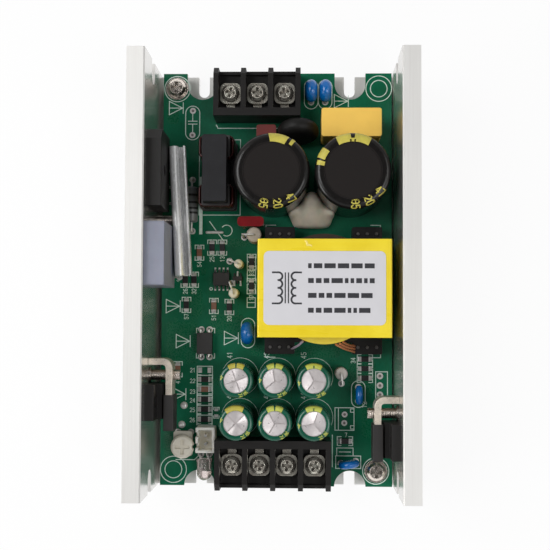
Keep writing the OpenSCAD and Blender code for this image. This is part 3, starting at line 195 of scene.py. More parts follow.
class Form:
    """Points and faces of one piece while it is being made."""

    def __init__(self):
        self.points = []
        self.faces = []

    def add(self, points, faces):
        first = len(self.points)
        self.points += [Vector(point) for point in points]
        self.faces += [[first + i for i in face] for face in faces]

    def loft(self, rows, capped=True, closed=False):
        """Rows of points joined by faces; a row of one point is a tip, and a closed loft meets its start."""
        sides = max(len(row) for row in rows)
        points, spans = [], []
        for row in rows:
            spans.append(range(len(points), len(points) + len(row)))
            points += row
        faces = [spans[0][::-1], spans[-1]] if capped else []
        following = spans[1:] + spans[:1] if closed else spans[1:]
        for low, high in zip(spans, following):
            for i in range(sides):
                j = i + 1
                corners = [low[i % len(low)], low[j % len(low)], high[j % len(high)], high[i % len(high)]]
                faces.append(list(dict.fromkeys(corners)))
        self.add(points, faces)

    def prism(self, outline, low, high):
        self.loft([[(x, y, z) for x, y in outline] for z in (low, high)])

    def block(self, low, high):
        (x0, y0, z0), (x1, y1, z1) = low, high
        self.prism([(x0, y0), (x1, y0), (x1, y1), (x0, y1)], z0, z1)

    def eased_block(self, low, high, ease):
        """Block whose upper edges are chamfered."""
        rows = []
        for inset, z in ((0, low[2]), (0, high[2] - ease), (ease, high[2])):
            x0, x1 = low[0] + inset, high[0] - inset
            y0, y1 = low[1] + inset, high[1] - inset
            rows.append([(x0, y0, z), (x1, y0, z), (x1, y1, z), (x0, y1, z)])
        self.loft(rows)

    def stroke(self, line, width, low, high):
        """Flat line through points; each stretch lies a hair above the last, so that none flickers."""
        hair, cycle = 0.0002, 60
        for start, end, side in stretches(line, width):
            rise = high + len(self.faces) % cycle * hair
            self.prism([start - side, end - side, end + side, start + side], low, rise)

    def ring(self, place, inner, outer, low, high, sides):
        rows = []
        for radius, z in ((inner, low), (outer, low), (outer, high), (inner, high)):
            rows.append([Vector((place[0], place[1], z)) + out * radius for out in spins(sides)])
        self.loft(rows, capped=False, closed=True)

    def lathe(self, profile, place, turn=Matrix.Identity(3), sides=32):
        """Round solid from (radius, height) pairs that begin and end on its axis."""
        rows = []
        for radius, height in profile:
            outs = spins(sides) if radius > 0 else spins(1)
            rows.append([turn @ (out * radius + UP * height) + Vector(place) for out in outs])
        self.loft(rows, capped=False)

    def tube(self, line, radius, sides):
        """Round wire along points."""
        line = [Vector(point) for point in line]
        side = (line[1] - line[0]).orthogonal().normalized()
        rows = []
        for i, point in enumerate(line):
            ahead = (line[min(i + 1, len(line) - 1)] - line[max(i - 1, 0)]).normalized()
            side = (side - ahead * side.dot(ahead)).normalized()
            other = ahead.cross(side)
            rows.append([point + (side * out.x + other * out.y) * radius for out in spins(sides)])
        self.loft(rows)

    def wire(self, points, radius, sides):
        """Round wire that bends smoothly through points."""
        self.tube(curve(points, 6), radius, sides)

    def shell(self, surface, columns, rows, low, high):
        """Thin curved plate: surface(u, v) gives a point and the direction out of it."""
        grid = [surface(u / columns, v / rows) for v in range(rows + 1) for u in range(columns + 1)]
        n, wide = len(grid), columns + 1
        points = [spot + out * depth for depth in (low, high) for spot, out in grid]
        faces = []
        for v in range(rows):
            for u in range(columns):
                i = v * wide + u
                quad = (i, i + 1, i + 1 + wide, i + wide)
                faces += [quad[::-1], [n + k for k in quad]]
        rim = list(range(columns)) + [v * wide + columns for v in range(rows)]
        rim += [rows * wide + u for u in range(columns, 0, -1)] + [v * wide for v in range(rows, 0, -1)]
        faces += [(a, b, n + b, n + a) for a, b in zip(rim, rim[1:] + rim[:1])]
        self.add(points, faces)

    def ribbon(self, place, line, width):
        """Painted line on a curved face: place(x, y) gives a point and the direction out of it."""
        for start, end, side in stretches(line, width):

            def surface(u, v, start=start, end=end, side=side):
                spot = start.lerp(end, u) + side * (2 * v - 1)
                return place(spot.x, spot.y)

            self.shell(surface, 2, 1, -SINK, DIGIT_LIFT)

    def thing(self, name, material, smooth=40):
        """Object of the form in the scene, its edges sharp above an angle."""
        mesh = bpy.data.meshes.new(name)
        mesh.from_pydata([point * MM for point in self.points], [], self.faces)
        tidy = bmesh.new()
        tidy.from_mesh(mesh)
        bmesh.ops.recalc_face_normals(tidy, faces=tidy.faces)
        tidy.to_mesh(mesh)
        tidy.free()
        mesh.shade_smooth()
        mesh.set_sharp_from_angle(angle=math.radians(smooth))
        mesh.materials.append(material)
        made = bpy.data.objects.new(name, mesh)
        bpy.context.scene.collection.objects.link(made)
        return made

    def piece(self, name, material, slot, smooth=40, instead=None):
        """Piece that rides on the supply, in some cases instead of a solid."""
        made = self.thing(name, material, smooth)
        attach(made, SUPPLY)
        if instead:
            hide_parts(instead)


def curve(points, steps):
    """Smooth line through a few points."""
    points = [Vector(point) for point in points]
    padded = [points[0], *points, points[-1]]
    line = []
    for i in range(len(points) - 1):
        a, b, c, d = padded[i:i + 4]
        for k in range(steps):
            t = k / steps
            line.append(0.5 * (
                2 * b + (c - a) * t + (2 * a - 5 * b + 4 * c - d) * t ** 2 + (3 * b - a - 3 * c + d) * t ** 3
            ))
    return [*line, points[-1]]


def both_ends(rim, low, high):
    """Profile of a round body whose ends are alike, from (radius, run) pairs inward from one end."""
    return [(radius, low + run) for radius, run in rim] + [(radius, high - run) for radius, run in rim[::-1]]


# Digits as strokes in a cell one wide and two high
ROUND_O = [(0.3, 0), (0.7, 0), (1, 0.4), (1, 1.6), (0.7, 2), (0.3, 2), (0, 1.6), (0, 0.4), (0.3, 0)]
DIGITS = {
    "0": [ROUND_O],
    "1": [[(0.15, 1.6), (0.55, 2), (0.55, 0)]],
    "2": [[(0, 1.6), (0.3, 2), (0.7, 2), (1, 1.6), (1, 1.25), (0, 0), (1, 0)]],
    "3": [[(0, 1.7), (0.3, 2), (0.7, 2), (1, 1.65), (1, 1.3), (0.65, 1.05), (0.4, 1.05)],
          [(0.65, 1.05), (1, 0.75), (1, 0.35), (0.7, 0), (0.3, 0), (0, 0.3)]],
    "4": [[(0.75, 0), (0.75, 2), (0, 0.6), (1, 0.6)]],
    "5": [[(0.95, 2), (0.1, 2), (0.05, 1.15), (0.65, 1.2), (1, 0.9), (1, 0.35), (0.65, 0), (0.25, 0),
           (0, 0.3)]],
    "6": [[(0.9, 1.85), (0.5, 2), (0.1, 1.5), (0, 0.8), (0.05, 0.3), (0.35, 0), (0.7, 0), (1, 0.3), (1, 0.8),
           (0.7, 1.1), (0.3, 1.1), (0.02, 0.8)]],
    "7": [[(0, 2), (1, 2), (0.4, 0)]],
    "8": [ROUND_O, [(0.1, 1.05), (0.9, 1.05)]],
}


def number(text, size, wide=0.48, step=0.72):
    """Strokes of a number, its middle at the origin; width and step are shares of its height."""
    wide, step = size * wide, size * step
    shift = (step * (len(text) - 1) + wide) / 2
    for place, digit in enumerate(text):
        for line in DIGITS[digit]:
            yield [(x * wide + place * step - shift, (y / 2 - 0.5) * size) for x, y in line]


def tone(red, green, blue):
    """Linear colour from an sRGB one in 0 to 255."""
    linear = []
    for value in (red / 255, green / 255, blue / 255):
        linear.append(value / 12.92 if value <= 0.04045 else ((value + 0.055) / 1.055) ** 2.4)
    return (*linear, 1.0)


def shade(color, factor):
    return (*[min(1.0, value * factor) for value in color[:3]], 1.0)


TIN = tone(196, 194, 190)
TIN_ROUGH = 0.3


class Net:
    """Nodes of one shader while it is being made."""

    def __init__(self, tree):
        self.tree = tree

    def feed(self, socket, value):
        if isinstance(value, bpy.types.NodeSocket):
            self.tree.links.new(value, socket)
        elif value is not None:
            socket.default_value = value

    def new(self, kind):
        return self.tree.nodes.new("ShaderNode" + kind)

    def node(self, kind, *inputs, **settings):
        """New node with its inputs in order, given by its first output."""
        made = self.new(kind)
        for name, value in settings.items():
            setattr(made, name, value)
        for socket, value in zip(made.inputs, inputs):
            self.feed(socket, value)
        return made.outputs[0]

    def sum(self, operation, *inputs):
        return self.node("Math", *inputs, operation=operation)

    def split(self, vector):
        """The three parts of a vector."""
        made = self.new("SeparateXYZ")
        self.feed(made.inputs[0], vector)
        return made.outputs


class Finish(Net):
    """One procedural material of the object."""

    def __init__(self, name):
        self.material = bpy.data.materials.new(name)
        self.material.use_nodes = True
        super().__init__(self.material.node_tree)
        self.shader = self.tree.nodes["Principled BSDF"]
        spot = self.new("TexCoord").outputs["Object"]
        self.place = self.node("VectorMath", spot, None, None, 1 / MM, operation="SCALE")
        self.x, self.y, self.z = self.split(self.place)

    def noise(self, size, detail, stretch=(1, 1, 1)):
        place = self.node("VectorMath", self.place, stretch, operation="MULTIPLY")
        return self.node("TexNoise", place, None, 1 / size, detail)

    def remap(self, value, low, high, first=0.0, last=1.0):
        return self.node("MapRange", value, low, high, first, last)

    def pick(self, mask, off, on):
        """One value where the mask is nought, another where it is one."""
        return self.remap(mask, 0.0, 1.0, off, on)

    def mix(self, factor, first, second):
        made = self.new("Mix")
        made.data_type = "RGBA"
        self.feed(made.inputs[0], factor)
        self.feed(made.inputs[6], first)
        self.feed(made.inputs[7], second)
        return made.outputs[2]

    def set(self, socket, value):
        self.feed(self.shader.inputs[socket], value)

    def relief(self, height, depth, edge):
        """Bump of a given depth, over edges that look eased by a given radius."""
        bump = self.new("Bump")
        self.feed(bump.inputs["Distance"], depth * MM)
        self.feed(bump.inputs["Height"], height)
        if edge:
            self.feed(bump.inputs["Normal"], self.node("Bevel", edge * MM, samples=6))
        self.set("Normal", bump.outputs[0])

    def crevice(self, reach):
        """One deep in a recess, nought on open faces; it says where shade is painted into the colour."""
        hidden = self.new("AmbientOcclusion")
        hidden.samples = 6
        self.feed(hidden.inputs["Distance"], reach * MM)
        return self.remap(hidden.outputs["AO"], 0.45, 0.95, 1.0, 0.0)

    def away(self, socket, centre, half):
        """Mask of what lies further than half from a centre along one axis."""
        offset = self.sum("ABSOLUTE", self.sum("SUBTRACT", socket, centre))
        return self.sum("GREATER_THAN", offset, half)

    def upright(self):
        """One on faces that stand upright, nought on flat ones."""
        facing = self.new("NewGeometry").outputs["True Normal"]
        return self.sum("LESS_THAN", self.sum("ABSOLUTE", self.split(facing)[2]), 0.5)

    def reach(self, x, y):
        """Distance from an upright axis."""
        across = self.sum("POWER", self.sum("SUBTRACT", self.x, x), 2.0)
        along = self.sum("POWER", self.sum("SUBTRACT", self.y, y), 2.0)
        return self.sum("SQRT", self.sum("ADD", across, along))

    def done(self, color, rough, gloss, height, depth, edge, metal=0.0):
        """The material, with its colour, polish and relief set."""
        self.set("Base Color", color)
        self.set("Roughness", rough)
        self.set("Specular IOR Level", gloss)
        self.set("Metallic", metal)
        self.relief(height, depth, edge)
        return self.material


def finish(name, color, rough, metal=0.0, vary=0.12, patch=7.0, grain=0.3, depth=0.01, edge=0.1,
           stretch=(1, 1, 1), gloss=0.5, recess_shade=0.0, tin=None, extra=None):
    """Blotched colour, uneven polish and fine relief, with painted shade that darkens recesses when asked;
    tin marks the bare leads of a coated part.
    """
    paint = Finish(name)
    blotch = paint.remap(paint.noise(patch, 4, stretch), 0.3, 0.7)
    body = paint.mix(blotch, shade(color, 1 - vary), shade(color, 1 + vary))
    # Painted shade: the colour darkens where ambient occlusion finds a recess.
    if recess_shade:
        painted_shade_share = paint.sum("MULTIPLY", paint.crevice(1.0), recess_shade)
        body = paint.mix(painted_shade_share, body, shade(color, 0.12))
    fine = paint.noise(grain, 3, stretch)
    dull = paint.remap(fine, 0.25, 0.75, rough * 0.85, min(1.0, rough * 1.15))
    if tin:
        metal = tin(paint)
        body = paint.mix(metal, body, TIN)
        dull = paint.pick(metal, dull, TIN_ROUGH)
    for socket, value in (extra or {}).items():
        paint.set(socket, value)
    return paint.done(body, dull, gloss, fine, depth, edge, metal)


def aluminium():
    """Extrusion with faint drawn lines along the channel, satin on top and brighter drawn on its sides."""
    paint = Finish("satin_aluminium")
    lines = paint.noise(0.5, 4, (1, 0.02, 1))
    cloud = paint.remap(paint.noise(18, 3), 0.35, 0.65, 0, 0.25)
    color = paint.mix(paint.remap(lines, 0.3, 0.7), tone(227, 225, 222), tone(232, 231, 228))
    color = paint.mix(cloud, color, tone(220, 219, 217))
    side = paint.upright()
    rough = paint.pick(side, paint.remap(lines, 0.2, 0.8, 0.44, 0.5), 0.26)
    return paint.done(color, rough, 0.3, lines, 0.003, 0.06, paint.pick(side, 0.4, 0.95))


def solder_mask():
    """Green lacquer over glass weave, its cut edges bare and paler."""
    paint = Finish("green_solder_mask")
    cloud = paint.remap(paint.noise(14, 4), 0.3, 0.7)
    weave = paint.noise(0.45, 2, (1, 0.35, 1))
    green = paint.mix(cloud, tone(8, 89, 60), tone(18, 115, 84))
    green = paint.mix(paint.remap(weave, 0.35, 0.65, 0, 0.25), green, tone(5, 78, 53))
    fibre = paint.mix(weave, tone(60, 120, 84), tone(112, 140, 92))
    rough = paint.remap(weave, 0.2, 0.8, 0.26, 0.38)
    return paint.done(paint.mix(paint.upright(), green, fibre), rough, 0.2, weave, 0.004, 0)


def black_sleeve(name, node):
    """Glossy shrunk sleeve round a duller end disc."""
    paint = Finish(name)
    axis = middle(node)
    margin = 0.2
    disc = paint.sum("LESS_THAN", paint.reach(axis.x, axis.y), BULK_OPENING + margin)
    ripple = paint.noise(1.6, 2)
    dust = paint.noise(0.25, 4)
    shell = paint.mix(ripple, tone(18, 17, 17), tone(27, 25, 24))
    face = paint.mix(dust, tone(27, 24, 23), tone(36, 32, 31))
    rough = paint.pick(disc, paint.remap(dust, 0.3, 0.7, 0.14, 0.24), 0.62)
    height = paint.sum("ADD", ripple, paint.sum("MULTIPLY", dust, 0.15))
    return paint.done(paint.mix(disc, shell, face), rough, paint.pick(disc, 0.32, 0.12), height, 0.03, 0)


def polyester_tape():
    """Yellow film wound in turns, with a little slack in its outer turn."""
    paint = Finish("yellow_tape")
    cloud = paint.remap(paint.noise(9, 3), 0.3, 0.7)
    slack = paint.noise(5, 2, (0.25, 1.4, 1))
    color = paint.mix(cloud, tone(230, 203, 36), tone(242, 219, 54))
    height = paint.sum("ADD", slack, paint.sum("MULTIPLY", paint.noise(0.3, 3), 0.05))
    return paint.done(color, paint.remap(slack, 0.3, 0.7, 0.24, 0.4), 0.4, height, 0.09, 0.25)


def wound_tape():
    """Yellow film round the winding toward the output end, and a dark brown toward the mains end."""
    paint = Finish("wound_tape")
    far = paint.sum("GREATER_THAN", paint.y, middle("transformer_winding").y)
    turns = paint.noise(0.6, 3, (0.3, 0.3, 1.4))
    film = paint.mix(turns, tone(230, 198, 42), tone(246, 224, 80))
    # Darker brown over the winding's mains end.
    dark_tone = paint.mix(turns, tone(38, 30, 22), tone(64, 48, 30))
    rough = paint.remap(turns, 0.3, 0.7, 0.3, 0.42)
    return paint.done(paint.mix(far, film, dark_tone), rough, 0.5, turns, 0.06, 0)


def ferrite():
    """Sintered grey-black grains."""
    paint = Finish("sintered_ferrite")
    grains = paint.noise(0.22, 4)
    cloud = paint.remap(paint.noise(4, 3), 0.3, 0.7, 0, 0.5)
    color = paint.mix(paint.remap(grains, 0.4, 0.7), tone(32, 32, 34), tone(50, 50, 53))
    color = paint.mix(cloud, color, tone(28, 27, 29))
    return paint.done(color, paint.remap(grains, 0.3, 0.7, 0.5, 0.72), 0.2, grains, 0.03, 0.2)


def silicone():
    """Grey-lavender cap, matt and a little see-through at its edges."""
    return finish("grey_silicone", tone(140, 143, 158), 0.5, vary=0.06, patch=5, grain=0.4, depth=0.02,
                  edge=0.3, gloss=0.35, extra={"Subsurface Weight": 0.08, "Subsurface Scale": 0.6 * MM})


# Finishes that several solids or pieces share
PLASTIC = finish("black_plastic", tone(25, 23, 22), 0.42, vary=0.1, patch=5, grain=0.2, depth=0.012,
                 gloss=0.24)
# Steel, bronzed nickel and the bright sheet get painted shade in their recesses.
STEEL = finish("plated_steel", tone(232, 222, 212), 0.24, 1.0, patch=1.2, grain=0.4, depth=0.006, recess_shade=0.7)
BRONZED = finish("bronzed_nickel", tone(248, 236, 222), 0.2, 0.82, vary=0.18, patch=1.2, grain=0.4,
                 depth=0.02, recess_shade=0.8)
CLAMP = finish("clamp_steel", tone(236, 224, 208), 0.3, 0.65, patch=1.4, grain=0.4, depth=0.015,
               stretch=(1, 1, 0.3), edge=0.2)
BRIGHT = finish("bright_sheet", tone(246, 247, 248), 0.26, 0.5, vary=0.11, patch=1.0, depth=0.004,
                stretch=(1, 0.06, 1), edge=0.15, recess_shade=0.6)
CAN = finish("drawn_can", tone(230, 223, 223), 0.3, 0.6, vary=0.06, patch=1.2, grain=1.6, depth=0.004, edge=0)
GREEN_SLEEVE = finish("green_sleeve", tone(16, 84, 64), 0.2, vary=0.14, patch=3, grain=0.5, depth=0.012,
                      extra={"Coat Weight": 0.3, "Coat Roughness": 0.1})
SOLDER = finish("solder", tone(214, 212, 210), 0.32, 0.3, vary=0.14, patch=0.8, grain=0.15, depth=0.02,
                edge=0)
DULL_TIN = finish("dull_tin", tone(84, 82, 80), 0.45, 0.5, vary=0.15, patch=0.8, grain=0.2)
SILK_INK = finish("white_ink", tone(218, 236, 226), 0.6, vary=0.1, patch=0.8, grain=0.1, depth=0.003, edge=0)
TRACE = finish("masked_copper", tone(9, 98, 66), 0.28, patch=5, grain=0.45, depth=0.004, edge=0, gloss=0.35)
GOLD = finish("gold_ink", tone(192, 180, 76), 0.42, patch=1.5, grain=0.15, depth=0.004, edge=0)
LIME = finish("lime_ink", tone(190, 196, 88), 0.42, patch=1.5, grain=0.15, depth=0.004, edge=0)
BLACK_INK = finish("black_ink", tone(38, 38, 44), 0.55, vary=0.15, patch=0.8, grain=0.1, depth=0.003, edge=0)
COPPER = finish("enamelled_copper", tone(216, 142, 98), 0.28, 0.4, patch=0.9, grain=0.2, depth=0.008)


def dress(material, *names):
    for name in names:
        for slot in nodes[name].material_slots:
            slot.material = material


def dip(node, name, color, rough, level=None, **more):
    """Moulded or dipped body over leads that are tinned below a level, or else below the body."""
    foot = underside(node) if level is None else level
    coat = finish(name, color, rough, tin=lambda paint: paint.sum("LESS_THAN", paint.z, foot), **more)
    dress(coat, node)
    return coat


def dress_solids():
    dress(aluminium(), "chassis_channel")
    dress(solder_mask(), "circuit_board")
    dress(STEEL, "board_posts", "board_screws", "board_washers", "clamp_bar_screw", "clamp_screws",
          "clamp_washers")
    dress(DULL_TIN, "transformer_pins")
    dress(BRONZED, "input_contacts", "output_contacts", "clamp_plates", "terminal_screws")
    dress(PLASTIC, "input_terminal_block", "output_terminal_block", "transformer_bobbin")
    dress(BRIGHT, "clamp_bar")
    dress(CLAMP, "left_clamp", "right_clamp")
    dress(ferrite(), "choke_core", "transformer_core")
    dress(CAN, *[f"output_capacitor_{i}" for i in range(1, 7)])
    dress(finish("dark_can", tone(34, 31, 30), 0.6, vary=0.1, patch=3, grain=0.25, gloss=0.15),
          "bulk_capacitor_1", "bulk_capacitor_2")
    for i in (1, 2):
        dress(black_sleeve(f"black_sleeve_{i}", f"bulk_sleeve_{i}"), f"bulk_sleeve_{i}")
    dress(GREEN_SLEEVE, "output_sleeves")
    dress(silicone(), "silicone_cap")
    dress(polyester_tape(), "transformer_tape")
    dress(wound_tape(), "transformer_winding")
    dress(finish("label_paper", tone(208, 207, 211), 0.5, vary=0.025, patch=8, grain=0.15, depth=0.006),
          "transformer_label")
    dress(finish("soft_sleeve", tone(32, 29, 28), 0.5, vary=0.1, patch=4, depth=0.015, edge=0.25),
          "clamp_boots")
    dress(finish("chip_epoxy", tone(34, 32, 31), 0.5, vary=0.08, patch=2, grain=0.12), "controller_chip")
    dress(finish("trimmer_rotor", tone(226, 220, 205), 0.4, vary=0.05, patch=2, grain=0.15, edge=0.2),
          "trimmer_rotor")
    dress(coupler_epoxy(), "optocoupler")
    dress(header_plastic(), "signal_header")
    for name in ("bridge_rectifier", "switching_transistor", "left_rectifier", "right_rectifier"):
        dip(name, name + "_epoxy", tone(22, 20, 19), 0.5, patch=4, grain=0.16, depth=0.015, gloss=0.35)
    dip("choke_bobbin", "choke_plastic", tone(36, 34, 34), 0.45, TOP)
    dip("line_fuse", "fuse_case", tone(112, 32, 27), 0.42, vary=0.1)
    dip("trimmer_base", "trimmer_case", tone(188, 184, 172), 0.4, vary=0.08)
    dip("box_capacitor", "yellow_box", tone(248, 202, 90), 0.46, TOP, vary=0.05, patch=9, edge=0.3,
        grain=0.25, depth=0.012)
    dip("inrush_thermistor", "black_coating", tone(22, 21, 20), 0.5, TOP + 1.2, vary=0.15, patch=3,
        grain=0.35, depth=0.03, gloss=0.25)
    blue = dip("disc_capacitors", "blue_coating", tone(8, 99, 174), 0.2, TOP + 0.3, vary=0.1, patch=3,
               grain=0.6, depth=0.02, extra={"Coat Weight": 0.3, "Coat Roughness": 0.08})
    dress(blue, "line_disc_capacitors")
    dip("film_capacitor", "red_coating", tone(134, 24, 30), 0.16, TOP + 0.4, patch=2, grain=0.5, depth=0.02,
        extra={"Coat Weight": 0.8, "Coat Roughness": 0.05})


def coupler_epoxy():
    """Moulding between two rows of tinned feet."""
    centre_y, half = middle("optocoupler").y, 3.3
    return finish("coupler_epoxy", tone(30, 28, 28), 0.48, vary=0.1, patch=2, grain=0.14, depth=0.012,
                  tin=lambda paint: paint.away(paint.y, centre_y, half))


def header_plastic():
    """Ivory moulding with two bare pins standing in it."""
    low, high = box("signal_header")
    centre = (low + high) / 2
    pin, inset, sunk = 0.5, 1.0, 1.9

    def pins(paint):
        beside = paint.away(paint.x, centre.x, pin)
        beyond = paint.away(paint.y, centre.y, (high.y - low.y) / 2 - inset)
        inside = paint.sum("SUBTRACT", 1.0, paint.sum("MAXIMUM", beside, beyond))
        return paint.sum("MULTIPLY", inside, paint.sum("GREATER_THAN", paint.z, TOP + sunk))

    glow = {"Subsurface Weight": 0.8, "Subsurface Scale": 3 * MM, "Subsurface Radius": (1.0, 0.95, 0.85)}
    return finish("ivory_plastic", tone(240, 235, 221), 0.42, vary=0.05, patch=3, grain=0.2, edge=0.2,
                  tin=pins, extra=glow)


class Sleeve:
    """Outside of a shrunk sleeve, where a mark lies at a bearing and a run outward from the opening."""

    def __init__(self, low, high, opening, shoulder):
        axis = (low + high) / 2
        self.centre = Vector((axis.x, axis.y, high.z))
        self.radius = (high.x - low.x) / 2
        self.opening = opening
        self.shoulder = shoulder

    def at(self, bearing, run):
        out = heading(bearing)
        flat = self.radius - self.shoulder - self.opening
        if run < flat:
            return self.centre + out * (self.opening + run), UP
        lean = min((run - flat) / self.shoulder, math.pi / 2)
        drop = max(0.0, run - flat - self.shoulder * math.pi / 2)
        away = out * math.sin(lean) + UP * math.cos(lean)
        heart = self.centre + out * (self.radius - self.shoulder) - UP * self.shoulder
        return heart + away * self.shoulder - UP * drop, away

    def patch(self, form, bearings, runs, taper):
        """Printed field between two bearings and two runs, its ends slanted by the taper."""
        first, last = bearings
        start, end = runs

        def surface(u, v):
            slant = taper * (1 - v)
            return self.at(first + slant + (last - first - 2 * slant) * u, start + (end - start) * v)

        form.shell(surface, max(3, int(abs(last - first) / 4)), 8, -SINK, FIELD_LIFT)

    def number(self, form, text, bearing, run, size, width):
        """Number that reads outward over the shoulder."""
        wide, step = 0.42, 0.62
        half = size * step * len(text) / 2
        for line in number(text, size, wide, step):
            form.ribbon(
                lambda x, y: self.at(bearing + math.degrees(y / self.radius), run + half + x),
                line, width,
            )


def sleeve_print():
    """Gold fields and plain numbers on the sleeves."""
    gold, warm, lime = Form(), Form(), Form()
    left_fields = [((97, 60), (0.15, 6.0), -4), ((57, 51), (0.9, 6.0), 0)]
    right_fields = [((116, 96), (0.15, 6.0), 3), ((85, 62), (0.15, 6.0), 3), ((96, 85), (0.15, 1.2), 0),
                    ((158, 143), (0.5, 6.0), 2), ((171, 163), (0.2, 2.6), 0)]
    for node, fields, first in (("bulk_sleeve_1", left_fields, -55), ("bulk_sleeve_2", right_fields, -38)):
        sleeve = Sleeve(*box(node), BULK_OPENING, BULK_SHOULDER)
        for bearings, runs, taper in fields:
            sleeve.patch(gold, bearings, runs, taper)
        for i, text in enumerate(("47", "20", "85")):
            sleeve.number(gold, text, first - 24 * i, 0.1, 2.5, 0.36)
    whole_run, part_run = (0.05, 3.4), (0.9, 3.4)
    for i, (low, high) in enumerate(islands("output_sleeves")):
        column, row = divmod(i, 2)
        sleeve = Sleeve(low, high, CAP_OPENING, CAP_SHOULDER)
        ink = warm if column == 0 else lime
        if i == 0:
            sleeve.patch(ink, (128, 64), whole_run, 4)
        else:
            sleeve.patch(ink, (118, 95), whole_run, 3)
            sleeve.patch(ink, (85, 62), whole_run, 3)
        if column == 2:
            sleeve.patch(ink, (96, 84), part_run, 5)
        sleeve.number(lime, "38", -40 - 12 * row, 0.1, 1.2, 0.17)
        sleeve.number(lime, "74", -62 - 10 * row, 0.1, 1.2, 0.17)
        sleeve.number(lime, "4", 168 + 10 * column, 0.2, 1.5, 0.2)
    gold.piece("bulk_sleeve_print", GOLD, "black_sleeve")
    warm.piece("left_sleeve_print", GOLD, "green_sleeve")
    lime.piece("right_sleeve_print", LIME, "green_sleeve")


def vents():
    """Raised sectors between the scored lines of each output can."""
    form = Form()
    dice = random.Random(8)
    gap, inner, outer = 0.13, 0.35, 3.45
    base, swell, most_tilt = 0.02, 0.26, 0.16
    for i, turn in enumerate(VENT_TURNS, 1):
        low, high = box(f"output_capacitor_{i}")
        axis = (low + high) / 2
        count = 4 if i % 3 == 1 else 3
        span = 360 / count
        for k in range(count):
            start = turn + k * span
            tilt = dice.uniform(-most_tilt, most_tilt)

            def surface(u, v, start=start, span=span, axis=axis, level=high.z, tilt=tilt):
                radius = inner + (outer - inner) * v
                clear = math.degrees(gap / radius)
                out = heading(start + clear + (span - 2 * clear) * u)
                crown = base + (swell * math.sin(math.pi * u) + tilt * (u - 0.5) + abs(tilt) / 2) * v
                return Vector((axis.x, axis.y, level + crown)) + out * radius, UP

            form.shell(surface, 10, 6, -PLATE_ROOT, PLATE_THICK)
    form.piece("vent_sectors", CAN, "can", smooth=25)


def chips():
    """Chip bodies between tinned ends, each end in a fillet of solder."""
    dark, brown, ends = Form(), Form(), Form()
    tan_places = [(-23.6, 7.3), (-19.0, -9.1), (-21.65, -35.2), (-30.0, -28.6)]
    cap, drop, near = 0.5, 0.04, 1.5
    for low, high in islands("surface_chips"):
        axis = (low + high) / 2
        k = 1 if high.y - low.y > high.x - low.x else 0
        is_tan = any((axis.xy - Vector(place)).length < near for place in tan_places)
        body_low, body_high = low.copy(), high.copy()
        body_low[k] += cap
        body_high[k] -= cap
        body_high.z -= drop
        (brown if is_tan else dark).eased_block(body_low, body_high, 0.06)
        for side, edge in ((-1, low[k]), (1, high[k])):
            end_low, end_high = low.copy(), high.copy()
            end_low[k], end_high[k] = sorted((edge, edge - side * cap))
            ends.eased_block(end_low, end_high, 0.08)
            solder_fillet(ends, edge, side, k, low, high)
    body = finish("chip_glaze", tone(34, 32, 34), 0.3, vary=0.1, patch=1, grain=0.1, depth=0.006)
    ceramic = finish("chip_ceramic", tone(132, 92, 72), 0.42, patch=1, grain=0.1, depth=0.008)
    dark.piece("chip_bodies", body, "chip", instead="surface_chips")
    brown.piece("chip_ceramics", ceramic, "chip", instead="surface_chips")
    ends.piece("chip_ends", SOLDER, "chip", instead="surface_chips")


def solder_fillet(form, edge, side, axis, low, high):
    """Wedge of solder that climbs a chip's end from its pad."""
    out, rise, inset, hollow = 0.55, 0.42, 0.08, 0.35
    across = 1 - axis
    points = []
    for at in (low[across] + inset, high[across] - inset):
        for reach, z in ((0, TOP), (out, TOP), (out * hollow, TOP + rise * hollow), (0, TOP + rise)):
            point = [0, 0, z]
            point[axis] = edge + side * reach
            point[across] = at
            points.append(point)
    form.add(points, [(0, 1, 2, 3), (7, 6, 5, 4), (0, 4, 5, 1), (1, 5, 6, 2), (2, 6, 7, 3), (3, 7, 4, 0)])


def gull_feet():
    """Tinned feet over those of the two small chips."""
    form = Form()
    skin, half, solder, ease = 0.03, 0.24, 0.6, 0.08
    widest_small, small_pitch = 4, 0.95
    # Each part of a foot: its start and stop, measured in from the end, and its low and high face
    parts = ((-skin, 0.55, 0, 0.24), (0.4, 0.65, 0, 0.95), (0.55, 1.0, 0.7, 0.95))
    for low, high in islands("controller_chip"):
        if high.x - low.x > widest_small:
            rows = [(side, [(i - 1.5) * PIN_PITCH for i in range(4)]) for side in (-1, 1)]
        else:
            rows = [(-1, [-small_pitch, small_pitch]), (1, [0.0])]
        for side, places in rows:
            end = high.y if side > 0 else low.y
            for place in places:
                x = (low.x + high.x) / 2 + place
                for start, stop, foot, head in parts:
                    y0, y1 = sorted((end - side * start, end - side * stop))
                    form.block((x - half, y0, TOP + foot), (x + half, y1, TOP + head))
                y0, y1 = sorted((end, end + side * solder))
                wide = half + PAD
                form.eased_block((x - wide, y0, TOP), (x + wide, y1, TOP + CHIP_LAND), ease)
    form.piece("chip_feet", SOLDER, "chip")


def board_solder():
    """Lands on both faces of the board, and a cone of solder under each lead."""
    lands, cones = Form(), Form()
    widest, tip = 0.9, UNDER - 1.15
    for centre, radius in board_holes():
        if radius > widest:
            continue
        for low, high in ((TOP - SINK, TOP + PAD), (UNDER - PAD, UNDER + SINK)):
            lands.ring(centre, radius - SINK, radius + LAND, low, high, 20)
        profile = [
            (0, tip - 0.1), (LEAD_RADIUS * 0.8, tip - 0.08), (LEAD_RADIUS + 0.06, tip),
            (LEAD_RADIUS + 0.16, UNDER - 0.7), (radius + 0.3, UNDER - 0.22),
            (radius + LAND * 0.9, UNDER - PAD), (0, UNDER - PAD),
        ]
        cones.lathe(profile, (centre.x, centre.y, 0), sides=16)
    lands.piece("solder_lands", SOLDER, "nickel")
    cones.piece("solder_cones", SOLDER, "nickel", smooth=70)


